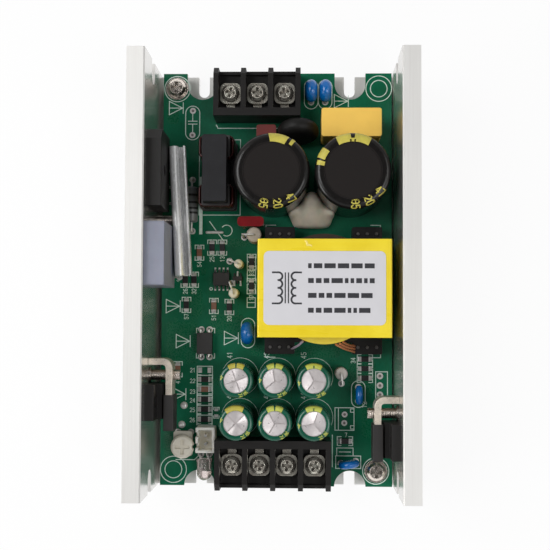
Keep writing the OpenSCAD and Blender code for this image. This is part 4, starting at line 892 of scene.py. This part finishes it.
def spare_lands():
    """Lands of the places that carry no part, each with a flat grey disc in place of its hole, painted with
    the shade seen inside a hole.
    """
    lands, holes = Form(), Form()
    spare = [(-26.0, 52.1, 0.95), (-26.1, 44.5, 0.95), (21.4, -41.9, 0.9), (21.3, -44.5, 0.9)]
    spare += [(32.2, y, 1.0) for y in (-30.1, -33.0, -35.8)]
    for x, y, radius in spare:
        bore = radius * 0.48
        lands.ring((x, y), radius * 0.45, radius, TOP - SINK, TOP + PAD, 24)
        holes.lathe([(0, TOP), (bore, TOP), (bore, TOP + SINK), (0, TOP + SINK)], (x, y, 0), sides=20)
    half_x, ease = 0.6, 0.1
    chip_lands = [(-23.1, -28.6, 0.85), (-20.2, -28.6, 0.85), (-18.0, -40.7, 0.45), (-18.0, -42.6, 0.45)]
    for x, y, half_y in chip_lands:
        low, high = (x - half_x, y - half_y, TOP - SINK), (x + half_x, y + half_y, TOP + CHIP_LAND)
        lands.eased_block(low, high, ease)
    dome = [(0, -SINK), (1.15, -SINK), (1.1, 0.14), (0.8, 0.38), (0.4, 0.5), (0, 0.53)]
    for x, y in ((-28.0, -39.4), (-28.6, -45.3)):
        lands.lathe(dome, (x, y, TOP), sides=24)
    rest = TOP + 0.42
    link = [(-21.2, 14.0, TOP), (-21.0, 14.0, rest), (-16.9, 14.0, rest), (-16.7, 14.0, TOP)]
    lands.wire(link, LAND, 12)
    lands.piece("spare_lands", SOLDER, "nickel")
    # Painted shade: a flat grey disc stands in for the inside of each hole.
    dark = finish("painted_hole_shade", tone(124, 116, 112), 0.6, vary=0.2, patch=0.5, grain=0.1, depth=0.004, edge=0)
    holes.piece("spare_holes", dark, "board")


def traces():
    """Copper runs that show as a paler green under the lacquer."""
    form = Form()
    dice = random.Random(11)
    low, high, step = TOP - SILK_SINK, TOP + 0.008, 0.006
    far_x, far_y = 31.0, 52.0
    pours = [
        (-27.0, -3.2, -22.6, -12.0), (-25.2, 3.2, -21.4, 0.6), (-33.6, -13.6, -24.0, -26.6),
        (-20.0, -11.4, -9.6, -17.6), (22.6, -25.0, 30.8, -34.6), (-34.2, 57.6, -30.4, 48.0),
        (24.4, 51.6, 33.8, 46.0), (26.6, -40.0, 33.8, -49.0), (-34.0, -46.4, -31.8, -56.6),
        (-16.6, 12.0, -8.2, 9.6), (-7.6, -20.8, 8.0, -24.2), (9.6, -20.8, 20.0, -24.6),
    ]
    cut = 0.8
    for x0, y0, x1, y1 in pours:
        form.prism([
            (x0 + cut, y1), (x1 - cut, y1), (x1, y1 + cut), (x1, y0 - cut),
            (x1 - cut, y0), (x0 + cut, y0), (x0, y0 - cut), (x0, y1 + cut),
        ], low, high)
    for _ in range(46):
        x = dice.randint(-24, 24) * PIN_PITCH
        y = dice.randint(-40, 12) * PIN_PITCH
        line = [(x, y)]
        for _ in range(3):
            run = dice.choice((-4, -3, -2, 2, 3, 4)) * PIN_PITCH
            x, y = (x + run, y) if dice.random() < 0.5 else (x, y + run)
            x = max(-far_x, min(far_x, x))
            y = max(-far_y, min(far_y, y))
            if (x, y) != line[-1]:
                line.append((x, y))
        if len(line) > 1:
            form.stroke(line, dice.choice((0.3, 0.4, 0.7)), low, high + step)
    form.piece("board_copper", TRACE, "board")


class Silk:
    """White print on the board."""

    def __init__(self):
        self.form = Form()

    def line(self, *points, width=SILK_LINE):
        self.form.stroke(points, width, TOP - SILK_SINK, TOP + SILK)

    def frame(self, x0, y0, x1, y1):
        self.line((x0, y0), (x1, y0), (x1, y1), (x0, y1), (x0, y0))

    def circle(self, x, y, radius, width=SILK_LINE):
        half = width / 2
        self.form.ring((x, y), radius - half, radius + half, TOP - SILK_SINK, TOP + SILK, 48)

    def arc(self, x, y, radius, first, last):
        count = max(4, int(abs(last - first) / 12))
        outs = [heading(first + (last - first) * i / count) for i in range(count + 1)]
        self.line(*[(x + radius * out.x, y + radius * out.y) for out in outs])

    def stadium(self, x, y0, y1, radius):
        """Upright outline with round ends, whose end centres lie at the two heights."""
        self.arc(x, y1, radius, 0, 180)
        self.arc(x, y0, radius, 180, 360)
        for side in (-radius, radius):
            self.line((x + side, y0), (x + side, y1))

    def diode(self, x, y, size):
        """Circuit sign of a diode that points along X."""
        half = size / 2
        self.line((x - half, y - half), (x + half, y), (x - half, y + half), (x - half, y - half))
        self.line((x + half + 0.15, y - half * 0.8), (x + half + 0.15, y + half * 0.8))
        self.line((x - half, y), (x + half, y))

    def corners(self, x0, y0, x1, y1, leg):
        """Four brackets at the corners of a part's place."""
        for x, sx in ((x0, 1), (x1, -1)):
            for y, sy in ((y0, 1), (y1, -1)):
                self.line((x + sx * leg, y), (x, y), (x, y + sy * leg))

    def number(self, text, x, y, size, turn=0):
        spin = Matrix.Rotation(math.radians(turn), 2)
        for line in number(text, size):
            points = [spin @ Vector(point) for point in line]
            self.line(*[(x + p.x, y + p.y) for p in points], width=SILK_DIGIT)


def silk_chips(silk):
    """Rings round the posts, brackets round the chips, and the ladder of chips by the left clamp."""
    dice = random.Random(5)
    plain_places = [Vector((31.9, 59.0)), Vector((-31.1, -59.0))]
    near = 4
    for low, high in islands("board_posts"):
        post = ((low + high) / 2).xy
        ring = next((place for place in plain_places if (place - post).length < near), post)
        for radius in (4.0, 2.6):
            silk.circle(ring.x, ring.y, radius)
    beside, beyond, leg = 0.55, 0.75, 1.15
    for low, high in islands("surface_chips"):
        upright = high.y - low.y > high.x - low.x
        x, y = (beside, beyond) if upright else (beyond, beside)
        silk.corners(low.x - x, low.y - y, high.x + x, high.y + y, leg)
        text = str(dice.randint(10, 58)).replace("9", "7")
        if upright:
            silk.number(text, (low.x + high.x) / 2, low.y - 2.0, 1.25, 90)
    left, right, top, bottom = -24.0, -19.3, -27.4, -45.4
    silk.frame(left, top, right, bottom)
    for y in (-30.2, -33.5, -36.4, -39.4, -42.4):
        silk.line((left, y), (right, y))
    for i, y in enumerate((-28.6, -31.9, -35.2, -37.9, -40.8, -43.9)):
        silk.number(str(21 + i), left - 1.4, y, 1.2)


def silk_capacitors(silk):
    """Outlines of the discs, a capacitor's sign at an empty place, and signs of diodes."""
    half, margin = 1.9, 0.6
    for node in ("line_disc_capacitors", "disc_capacitors"):
        for low, high in islands(node):
            spot = (low + high) / 2
            if high.y - low.y > high.x - low.x:
                reach = (high.y - low.y) / 2 - 1.0
                silk.stadium(spot.x, spot.y - reach, spot.y + reach, 2.1)
            else:
                silk.frame(low.x - margin, spot.y - half, high.x + margin, spot.y + half)
    x, plate = -26.05, 1.35
    silk.stadium(x, 45.2, 51.4, 2.2)
    silk.line((x, 51.0), (x, 48.9))
    silk.line((x, 47.9), (x, 45.6))
    for y in (48.85, 47.95):
        silk.line((x - plate, y), (x + plate, y))
    for x, y in ((-31.3, 53.0), (20.2, 55.1), (-31.7, -8.9), (-28.5, -19.7), (-13.6, -18.7), (-29.7, -36.0)):
        silk.diode(x, y, 4.2)


def silk_places(silk):
    """Frames of the choke and of places that carry no part, with a few numbers."""
    low, high = box("choke_bobbin")
    margin = 0.9
    silk.frame(low.x - margin, low.y - margin, high.x + margin, high.y + margin)
    left, right, top, bottom = 18.45, 24.27, -39.85, -46.7
    silk.frame(left, top, right, bottom)
    silk.line((19.5, top), (19.5, bottom))
    for first, last in ((-41.2, -40.2), (-45.3, -46.3)):
        silk.line((right, first), (23.2, first), (23.2, last), (right, last))
    silk.frame(30.9, -28.8, 34.5, -37.2)
    silk.corners(-18.85, -43.3, -17.15, -40.0, 0.7)
    silk.frame(19.0, -52.1, 24.0, -54.5)
    silk.line((19.8, -53.3), (23.2, -53.3))
    silk.number("7", 21.8, -48.1, 1.2)
    silk.number("12", 27.4, -38.9, 1.4, 90)
    silk.number("34", 24.0, -25.4, 1.3, 90)


def silk_parts(silk):
    """Circles, frames, brackets and strips beside the other parts."""
    for i, (low, high) in enumerate(islands("output_sleeves")):
        spot = (low + high) / 2
        silk.circle(spot.x + 0.3, spot.y + 0.5, 5.7, 0.13)
        silk.number(str(40 + i), spot.x - 3.0, spot.y + 7.0, 1.5, 90)
    left, right, top, pitch, height = -8.7, -6.2, 6.4, 4.2, 3.0
    for i in range(4):
        y = top - pitch * i
        silk.frame(left, y, right, y - height)
        silk.line((left, y - height / 2), (right, y - height / 2))
    low, high = islands("controller_chip")[0]
    spot = (low + high) / 2
    silk.number("3", spot.x + 3.4, spot.y - 5.2, 1.5)
    silk.circle(spot.x - 3.2, spot.y - 3.0, 0.4)
    low, high = box("optocoupler")
    silk.corners(low.x - 0.5, low.y, high.x + 0.5, high.y, 1.4)
    x, y = middle("trimmer_rotor").xy
    silk.line((x - 2.5, y - 4.5), (x + 3.2, y - 4.5), (x + 4.4, y - 3.3), (x + 4.4, y + 3.4))
    low, high = box("input_terminal_block")
    silk.line((low.x, low.y - 0.6), (low.x + 0.5, low.y - 1.6), (high.x, low.y - 1.6))
    low, high = box("output_terminal_block")
    silk.line((high.x + 0.7, high.y + 0.6), (high.x + 0.7, low.y + 6))
    low, high = box("transformer_bobbin")
    silk.corners(low.x, low.y - 1.2, high.x, high.y + 1.2, 3.0)
    low, high = box("axial_diode")
    strip = high.x + 0.75
    silk.line((strip, low.y), (strip, high.y), width=1.0)
    silk.line((-20.5, 17.4), (-15.4, 10.4))
    silk.arc(-15.2, 14.6, 1.7, -120, 140)
    silk.number("5", -30.2, -0.4, 1.5)


def silkscreen():
    silk = Silk()
    silk_chips(silk)
    silk_capacitors(silk)
    silk_places(silk)
    silk_parts(silk)
    silk.form.piece("board_print", SILK_INK, "board")


def label_print():
    """Even rows of bars and a winding's circuit sign, in place of any text."""
    form = Form()
    low, high = box("transformer_label")
    sunk, proud = 0.005, 0.02
    level, lift = high.z - sunk, high.z + proud
    sign_x, mid_y = low.x + 6.6, (low.y + high.y) / 2
    away, radius, thick = 2.4, 1.1, 0.5

    def line(width, *points):
        form.stroke([(sign_x + x, mid_y + y) for x, y in points], width, level, lift)

    outs = [heading(90 - 18 * k) for k in range(11)]
    arc = [(away - radius * out.x, radius * out.y) for out in outs]
    for side in (-1, 1):
        for row in (3, 1, -1, -3):
            line(thick, *[(side * x, row * radius + y) for x, y in arc])
        for y in (-4 * radius, 4 * radius):
            line(thick, (side * away, y), (side * 4.0, y))
    for x in (-0.45, 0.45):
        line(0.35, (x, -4.2), (x, 4.2))
    first, last = low.x + 12.6, high.x - 3.2
    rows, height, gap, least = 4, 1.4, 0.6, 1.2
    dice = random.Random(3)
    for row in range(1, rows + 1):
        y = low.y + (high.y - low.y) * row / (rows + 1)
        x = first
        while x < last - least:
            width = min(last - x, dice.choice((1.0, 1.6, 2.4, 3.2)))
            form.block((x, y - height / 2, level), (x + width, y + height / 2, lift))
            x += width + gap
    form.piece("label_rules", BLACK_INK, "paper_label")


def tape_crease():
    """Puckered end of the tape's outer turn, coloured paler as a painted highlight on the crease."""
    form = Form()
    level = box("transformer_tape")[1].z
    start, end = Vector((8.9, 9.3)), Vector((11.0, 7.5))
    side = (end - start).orthogonal().normalized()

    narrow, wider, wave, ridge = 0.1, 0.3, 0.25, 0.16

    def surface(u, v):
        bulge = math.sin(math.pi * u)
        across = (narrow + wider * bulge) * (2 * v - 1) + wave * math.sin(9 * u)
        spot = start.lerp(end, u) + side * across
        return Vector((spot.x, spot.y, level + ridge * math.sin(math.pi * v) * bulge)), UP

    form.shell(surface, 24, 6, -PLATE_ROOT, PLATE_THICK)
    # The pale colour is a painted highlight along the crease.
    film = finish("tape_pucker_highlight", tone(246, 224, 120), 0.2, vary=0.1, patch=0.6, depth=0.02, edge=0)
    form.piece("tape_crease", film, "yellow_tape")


def choke_turns():
    """Enamelled wire wound in turns on both legs of the choke."""
    form = Form()
    wire, corner, slack = 0.42, 1.1, 1.02
    for low, high in islands("choke_windings"):
        axis = (low + high) / 2
        half_x = (high.x - low.x) / 2 - wire - corner
        half_y = (high.y - low.y) / 2 - wire - corner
        loop = []
        for quarter, (sx, sy) in enumerate(((1, 1), (-1, 1), (-1, -1), (1, -1))):
            for k in range(6):
                out = heading(quarter * 90 + 18 * k) * corner
                loop.append((axis.x + sx * half_x + out.x, axis.y + sy * half_y + out.y))
        height = high.z - low.z - 2 * wire
        turns = int(height / (2 * wire * slack))
        line = []
        for step in range(turns * len(loop) + 1):
            rise = height / turns * step / len(loop)
            line.append((*loop[step % len(loop)], low.z + wire + rise))
        form.tube(line, wire, 8)
    dark_tone = finish("red_enamel", tone(62, 22, 20), 0.22, 0.4, vary=0.2, patch=1.6, edge=0)
    form.piece("choke_turns", dark_tone, "red_enamel", smooth=80, instead="choke_windings")


def standing_resistors():
    """Resistors on end: a coated body with raised ends, colour rings, and its bent lead."""
    coats = {"beige": tone(186, 174, 158), "cream": tone(240, 233, 212), "grey": tone(184, 178, 174)}
    bodies = {kind: Form() for kind in coats}
    rings, wires = Form(), Form()
    kinds = [("beige", 4.6, 180), ("cream", 2.7, 160), ("cream", 3.0, 110), ("grey", 3.8, 275)]
    found = sorted(islands("standing_resistors"), key=lambda pair: -pair[0].y)
    thin = LEAD_RADIUS * 0.8
    for (low, high), (kind, wide, bearing) in zip(found, kinds):
        radius = wide / 2
        neck = radius * 0.9
        out = heading(bearing)
        x = low.x + radius if out.x >= 0 else high.x - radius
        y = low.y + radius if out.y >= 0 else high.y - radius
        axis = Vector((x, y, 0))
        end = axis + out * RESISTOR_REACH
        bend = high.z - thin
        foot, head = TOP + 1.0, bend - 0.9
        rim = [(0, 0), (radius - 0.5, 0), (radius - 0.1, 0.3), (radius, 0.7), (neck, 1.6)]
        bodies[kind].lathe(both_ends(rim, foot, head), axis)
        for share in (0.36, 0.5, 0.64):
            z = foot + (head - foot) * share
            rings.ring(axis, neck - 0.05, neck + 0.03, z - 0.25, z + 0.25, 32)
        wires.wire([
            axis + UP * (head - 0.2), axis + UP * (bend - 0.35), axis + out * 0.4 + UP * bend,
            end - out * 0.4 + UP * bend, end + UP * (bend - 0.5), end + UP * (TOP + 0.5), end + UP * LEAD_TIP,
        ], thin, 10)
        wires.tube([axis + UP * (foot + 0.1), axis + UP * LEAD_TIP], LEAD_RADIUS, 10)
    slot, node = "resistor_coating", "standing_resistors"
    for kind, form in bodies.items():
        coat = finish("resistor_" + kind, coats[kind], 0.36, vary=0.08, patch=1.5, depth=0.02, edge=0)
        form.piece("resistor_bodies_" + kind, coat, slot, instead=node)
    band = finish("resistor_ring", tone(96, 60, 34), 0.4, vary=0.2, patch=1, grain=0.2, edge=0)
    rings.piece("resistor_rings", band, slot, instead=node)
    wires.piece("resistor_leads", SOLDER, slot, smooth=80, instead=node)


def axial_part():
    """Grey axial body with black rings, and leads bent into the board."""
    body, rings, wires = Form(), Form(), Form()
    low, high = box("axial_diode")
    radius = (high.x - low.x) / 2
    axis = middle("axial_diode")
    axis.z = high.z - radius
    half = DIODE_LENGTH / 2
    along_y = Matrix.Rotation(math.radians(-90), 3, "X")
    rim = [(0, 0), (radius * 0.7, 0), (radius * 0.94, 0.25), (radius, 0.7)]
    body.lathe(both_ends(rim, -half, half), axis, along_y)
    outer, wide = radius + 0.02, 0.32
    for place in (-2.6, -1.2, 0.6, 2.9):
        rings.lathe(both_ends([(0, 0), (outer, 0)], place - wide, place + wide), axis, along_y)
    reach = (high.y - low.y) / 2 - LEAD_RADIUS
    for side in (-1, 1):
        out = Vector((0, side, 0))
        tip = axis + out * reach
        wires.wire([
            axis + out * (half - 0.1), tip - out * 0.8, tip - (out + UP) * 0.12, tip - UP * 0.8,
            Vector((tip.x, tip.y, LEAD_TIP)),
        ], LEAD_RADIUS, 10)
    grey = finish("axial_body", tone(106, 108, 110), 0.34, vary=0.1, patch=2, grain=0.25, depth=0.012, edge=0)
    black = finish("axial_ring", tone(26, 26, 27), 0.36, vary=0.1, patch=2, grain=0.25, edge=0)
    for form, name, material in (
        (body, "axial_body", grey), (rings, "axial_rings", black), (wires, "axial_leads", SOLDER),
    ):
        form.piece(name, material, "black_epoxy", smooth=50, instead="axial_diode")


def winding_ends():
    """Copper strands that leave the winding and turn round the rail's pins."""
    bare, sleeved = Form(), Form()
    radius = 0.35
    for low, high in islands("transformer_wires"):
        side = 1 if (low.x + high.x) / 2 > middle("transformer_winding").x else -1
        start_x, end_x = (low.x, high.x) if side > 0 else (high.x, low.x)
        start = Vector((start_x + side * radius, high.y - radius, high.z - radius))
        end = Vector((end_x - side * radius, low.y + radius, low.z + radius))
        sag = start.lerp(end, 0.45) + Vector((0, -0.25, 0.5))
        (bare if side > 0 else sleeved).tube(curve([start, sag, end], 10), radius, 10)
    film = finish("lead_sleeve", tone(176, 160, 176), 0.3, patch=1)
    for form, name, material in ((bare, "winding_ends", COPPER), (sleeved, "winding_lead", film)):
        form.piece(name, material, "copper", smooth=80, instead="transformer_wires")


def set_adhesive():
    """Soft mound of set silicone, rounded from its solid."""
    source = nodes["fixing_adhesive"]
    mound = bpy.data.objects.new("adhesive_mound", source.data.copy())
    bpy.context.scene.collection.objects.link(mound)
    remesh = mound.modifiers.new("remesh", "REMESH")
    remesh.mode = "VOXEL"
    remesh.voxel_size = 0.5 * MM
    soften = mound.modifiers.new("soften", "SMOOTH")
    soften.factor = 0.6
    soften.iterations = 60
    swell = mound.modifiers.new("swell", "DISPLACE")
    swell.strength = 0.55 * MM
    swell.mid_level = 0
    shaped = bpy.data.meshes.new_from_object(mound.evaluated_get(bpy.context.evaluated_depsgraph_get()))
    mound.modifiers.clear()
    mound.data = shaped
    shaped.shade_smooth()
    shaped.materials.clear()
    shaped.materials.append(finish(
        "set_silicone", tone(228, 218, 198), 0.36, vary=0.1, patch=3, grain=0.9, depth=0.05, edge=0,
        extra={"Subsurface Weight": 0.2, "Subsurface Scale": 1.5 * MM},
    ))
    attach(mound, SUPPLY)
    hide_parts("fixing_adhesive")


def indicator():
    """Clear lamp with its cup and posts inside and its leads bent down."""
    lens, wires = Form(), Form()
    low, high = box("indicator_led")
    back = Vector(((low.x + high.x) / 2, low.y + LED_LENGTH, high.z - LED_RIM))
    toward = Matrix.Rotation(math.radians(90), 3, "X")
    straight = LED_LENGTH - LED_RADIUS
    outs = [heading(angle) * LED_RADIUS for angle in range(10, 90, 10)]
    dome = [(out.x, straight + out.y) for out in outs]
    ease, flange = 0.1, 1.0
    profile = [
        (0, 0), (LED_RIM - ease, 0), (LED_RIM, ease), (LED_RIM, flange - ease), (LED_RIM - ease, flange),
        (LED_RADIUS, flange), (LED_RADIUS, straight), *dome, (0, LED_LENGTH),
    ]
    lens.lathe(profile, back, toward, 40)
    path = [(-3.2, 0), (-0.5, 0), (0.6, 0), (0.95, -0.25), (1.0, -1.0), (1.0, LEAD_TIP - back.z)]
    for side in (-1, 1):
        lead = [back + Vector((side * PIN_PITCH, run, rise)) for run, rise in path]
        wires.wire(lead, LEAD_RADIUS * 0.7, 8)
    cup = [(0, 2.6), (0.5, 2.6), (0.9, 3.5), (0.75, 3.5), (0.4, 3.0), (0, 3.0)]
    wires.lathe(cup, back - Vector((0.9, 0, 0)), toward, 20)
    resin = finish("clear_resin", tone(250, 236, 232), 0.1, vary=0.03, patch=3, grain=0.6, edge=0,
                   extra={"Transmission Weight": 0.85, "IOR": 1.45})
    lens.piece("lamp_lens", resin, "clear_resin", smooth=50, instead="indicator_led")
    wires.piece("lamp_leads", SOLDER, "clear_resin", smooth=60, instead="indicator_led")


def screw_threads():
    """Fine thread on the clamp screws where they cross from wall to clamp."""
    form = Form()
    pitch, length, start, radius, wire, sides = 0.5, 9.0, 0.3, 1.45, 0.13, 16
    steps = int(length / pitch) * sides
    for node in ("clamp_screws", "clamp_bar_screw"):
        for low, high in islands(node):
            axis = (low + high) / 2
            inward = 1 if axis.x < 0 else -1
            tip = high.x if inward > 0 else low.x
            line = []
            for i in range(steps + 1):
                out = heading(360 * i / sides) * radius
                x = tip - inward * (start + length * i / steps)
                line.append((x, axis.y + out.x, axis.z + out.y))
            form.tube(line, wire, 5)
    form.piece("screw_threads", STEEL, "steel", smooth=80)


def studio():
    """White floor and even light from above and from the left."""
    scene = bpy.context.scene
    lens = bpy.data.cameras.new("photo_camera")
    lens.sensor_width = SENSOR
    lens.lens = PHOTO_FOCAL / PHOTO_SIDE * SENSOR
    lens.clip_start = NEAREST_SEEN
    eye = bpy.data.objects.new("photo_camera", lens)
    eye.location = Vector(CAMERA_PLACE) * MM
    eye.rotation_euler = [math.radians(angle) for angle in CAMERA_TURN]
    scene.collection.objects.link(eye)
    scene.camera = eye
    scene.view_settings.view_transform = "Standard"

    def lamp(name, place, aim, size, power):
        """Panel of light; lengths in metres and power in watts."""
        light = bpy.data.lights.new(name, "AREA")
        light.shape = "RECTANGLE"
        light.size, light.size_y = size
        light.energy = power
        thing = bpy.data.objects.new(name, light)
        thing.location = place
        thing.rotation_euler = (Vector(aim) - Vector(place)).to_track_quat("-Z", "Y").to_euler()
        scene.collection.objects.link(thing)

    lamp("key", (-0.6, 0.2, 1.0), (0, 0, 0.02), (0.6, 0.6), 5.5)
    lamp("left_softbox", (-0.62, -0.24, 0.3), (0, 0, 0.03), (0.3, 0.4), 1.6)
    lamp("right_top", (0.5, -0.2, 1.0), (0, 0, 0.02), (0.5, 0.5), 3.1)

    floor = Form()
    wide, thick, clear = 700, 0.5, 0.02
    floor.lathe([(0, -thick), (wide, -thick), (wide, -clear), (0, -clear)], (0, 0, 0), sides=64)
    ground = floor.thing("floor", floor_paint())
    scene.world = sky()


def seen_rays(net):
    """One for rays from the camera, from gloss or through clear resin."""
    path = net.new("LightPath").outputs
    seen = net.sum("MAXIMUM", path["Is Camera Ray"], path["Is Glossy Ray"])
    return net.sum("MAXIMUM", seen, path["Is Transmission Ray"])


def floor_paint():
    """White paper that keeps a soft shadow and looks white in the picture."""
    material = bpy.data.materials.new("white_floor")
    material.use_nodes = True
    net = Net(material.node_tree)
    net.tree.nodes.clear()
    glow_share, white = 0.9, 0.9
    paper = net.node("BsdfDiffuse", (white, white, white, 1))
    share = net.sum("MULTIPLY", seen_rays(net), glow_share)
    blend = net.node("MixShader", share, paper, net.node("Emission"))
    net.feed(net.new("OutputMaterial").inputs[0], blend)
    return material


def sky():
    """Soft studio surround, dark straight above where the camera hangs."""
    world = bpy.data.worlds.new("studio")
    world.use_nodes = True
    net = Net(world.node_tree)
    ramp = net.new("ValToRGB")
    net.feed(ramp.inputs[0], net.split(net.new("TexCoord").outputs["Generated"])[2])
    stops = ramp.color_ramp.elements
    greys = ((0.0, 0.45), (0.66, 0.6), (0.92, 0.06))
    stops.new(greys[1][0])
    for stop, (place, grey) in zip(stops, greys):
        stop.position = place
        stop.color = (grey, grey, grey, 1)
    net.feed(net.tree.nodes["Background"].inputs["Color"], ramp.outputs[0])
    return world


dress_solids()
sleeve_print()
vents()
chips()
gull_feet()
board_solder()
spare_lands()
traces()
silkscreen()
label_print()
tape_crease()
choke_turns()
standing_resistors()
axial_part()
winding_ends()
set_adhesive()
indicator()
screw_threads()
studio()
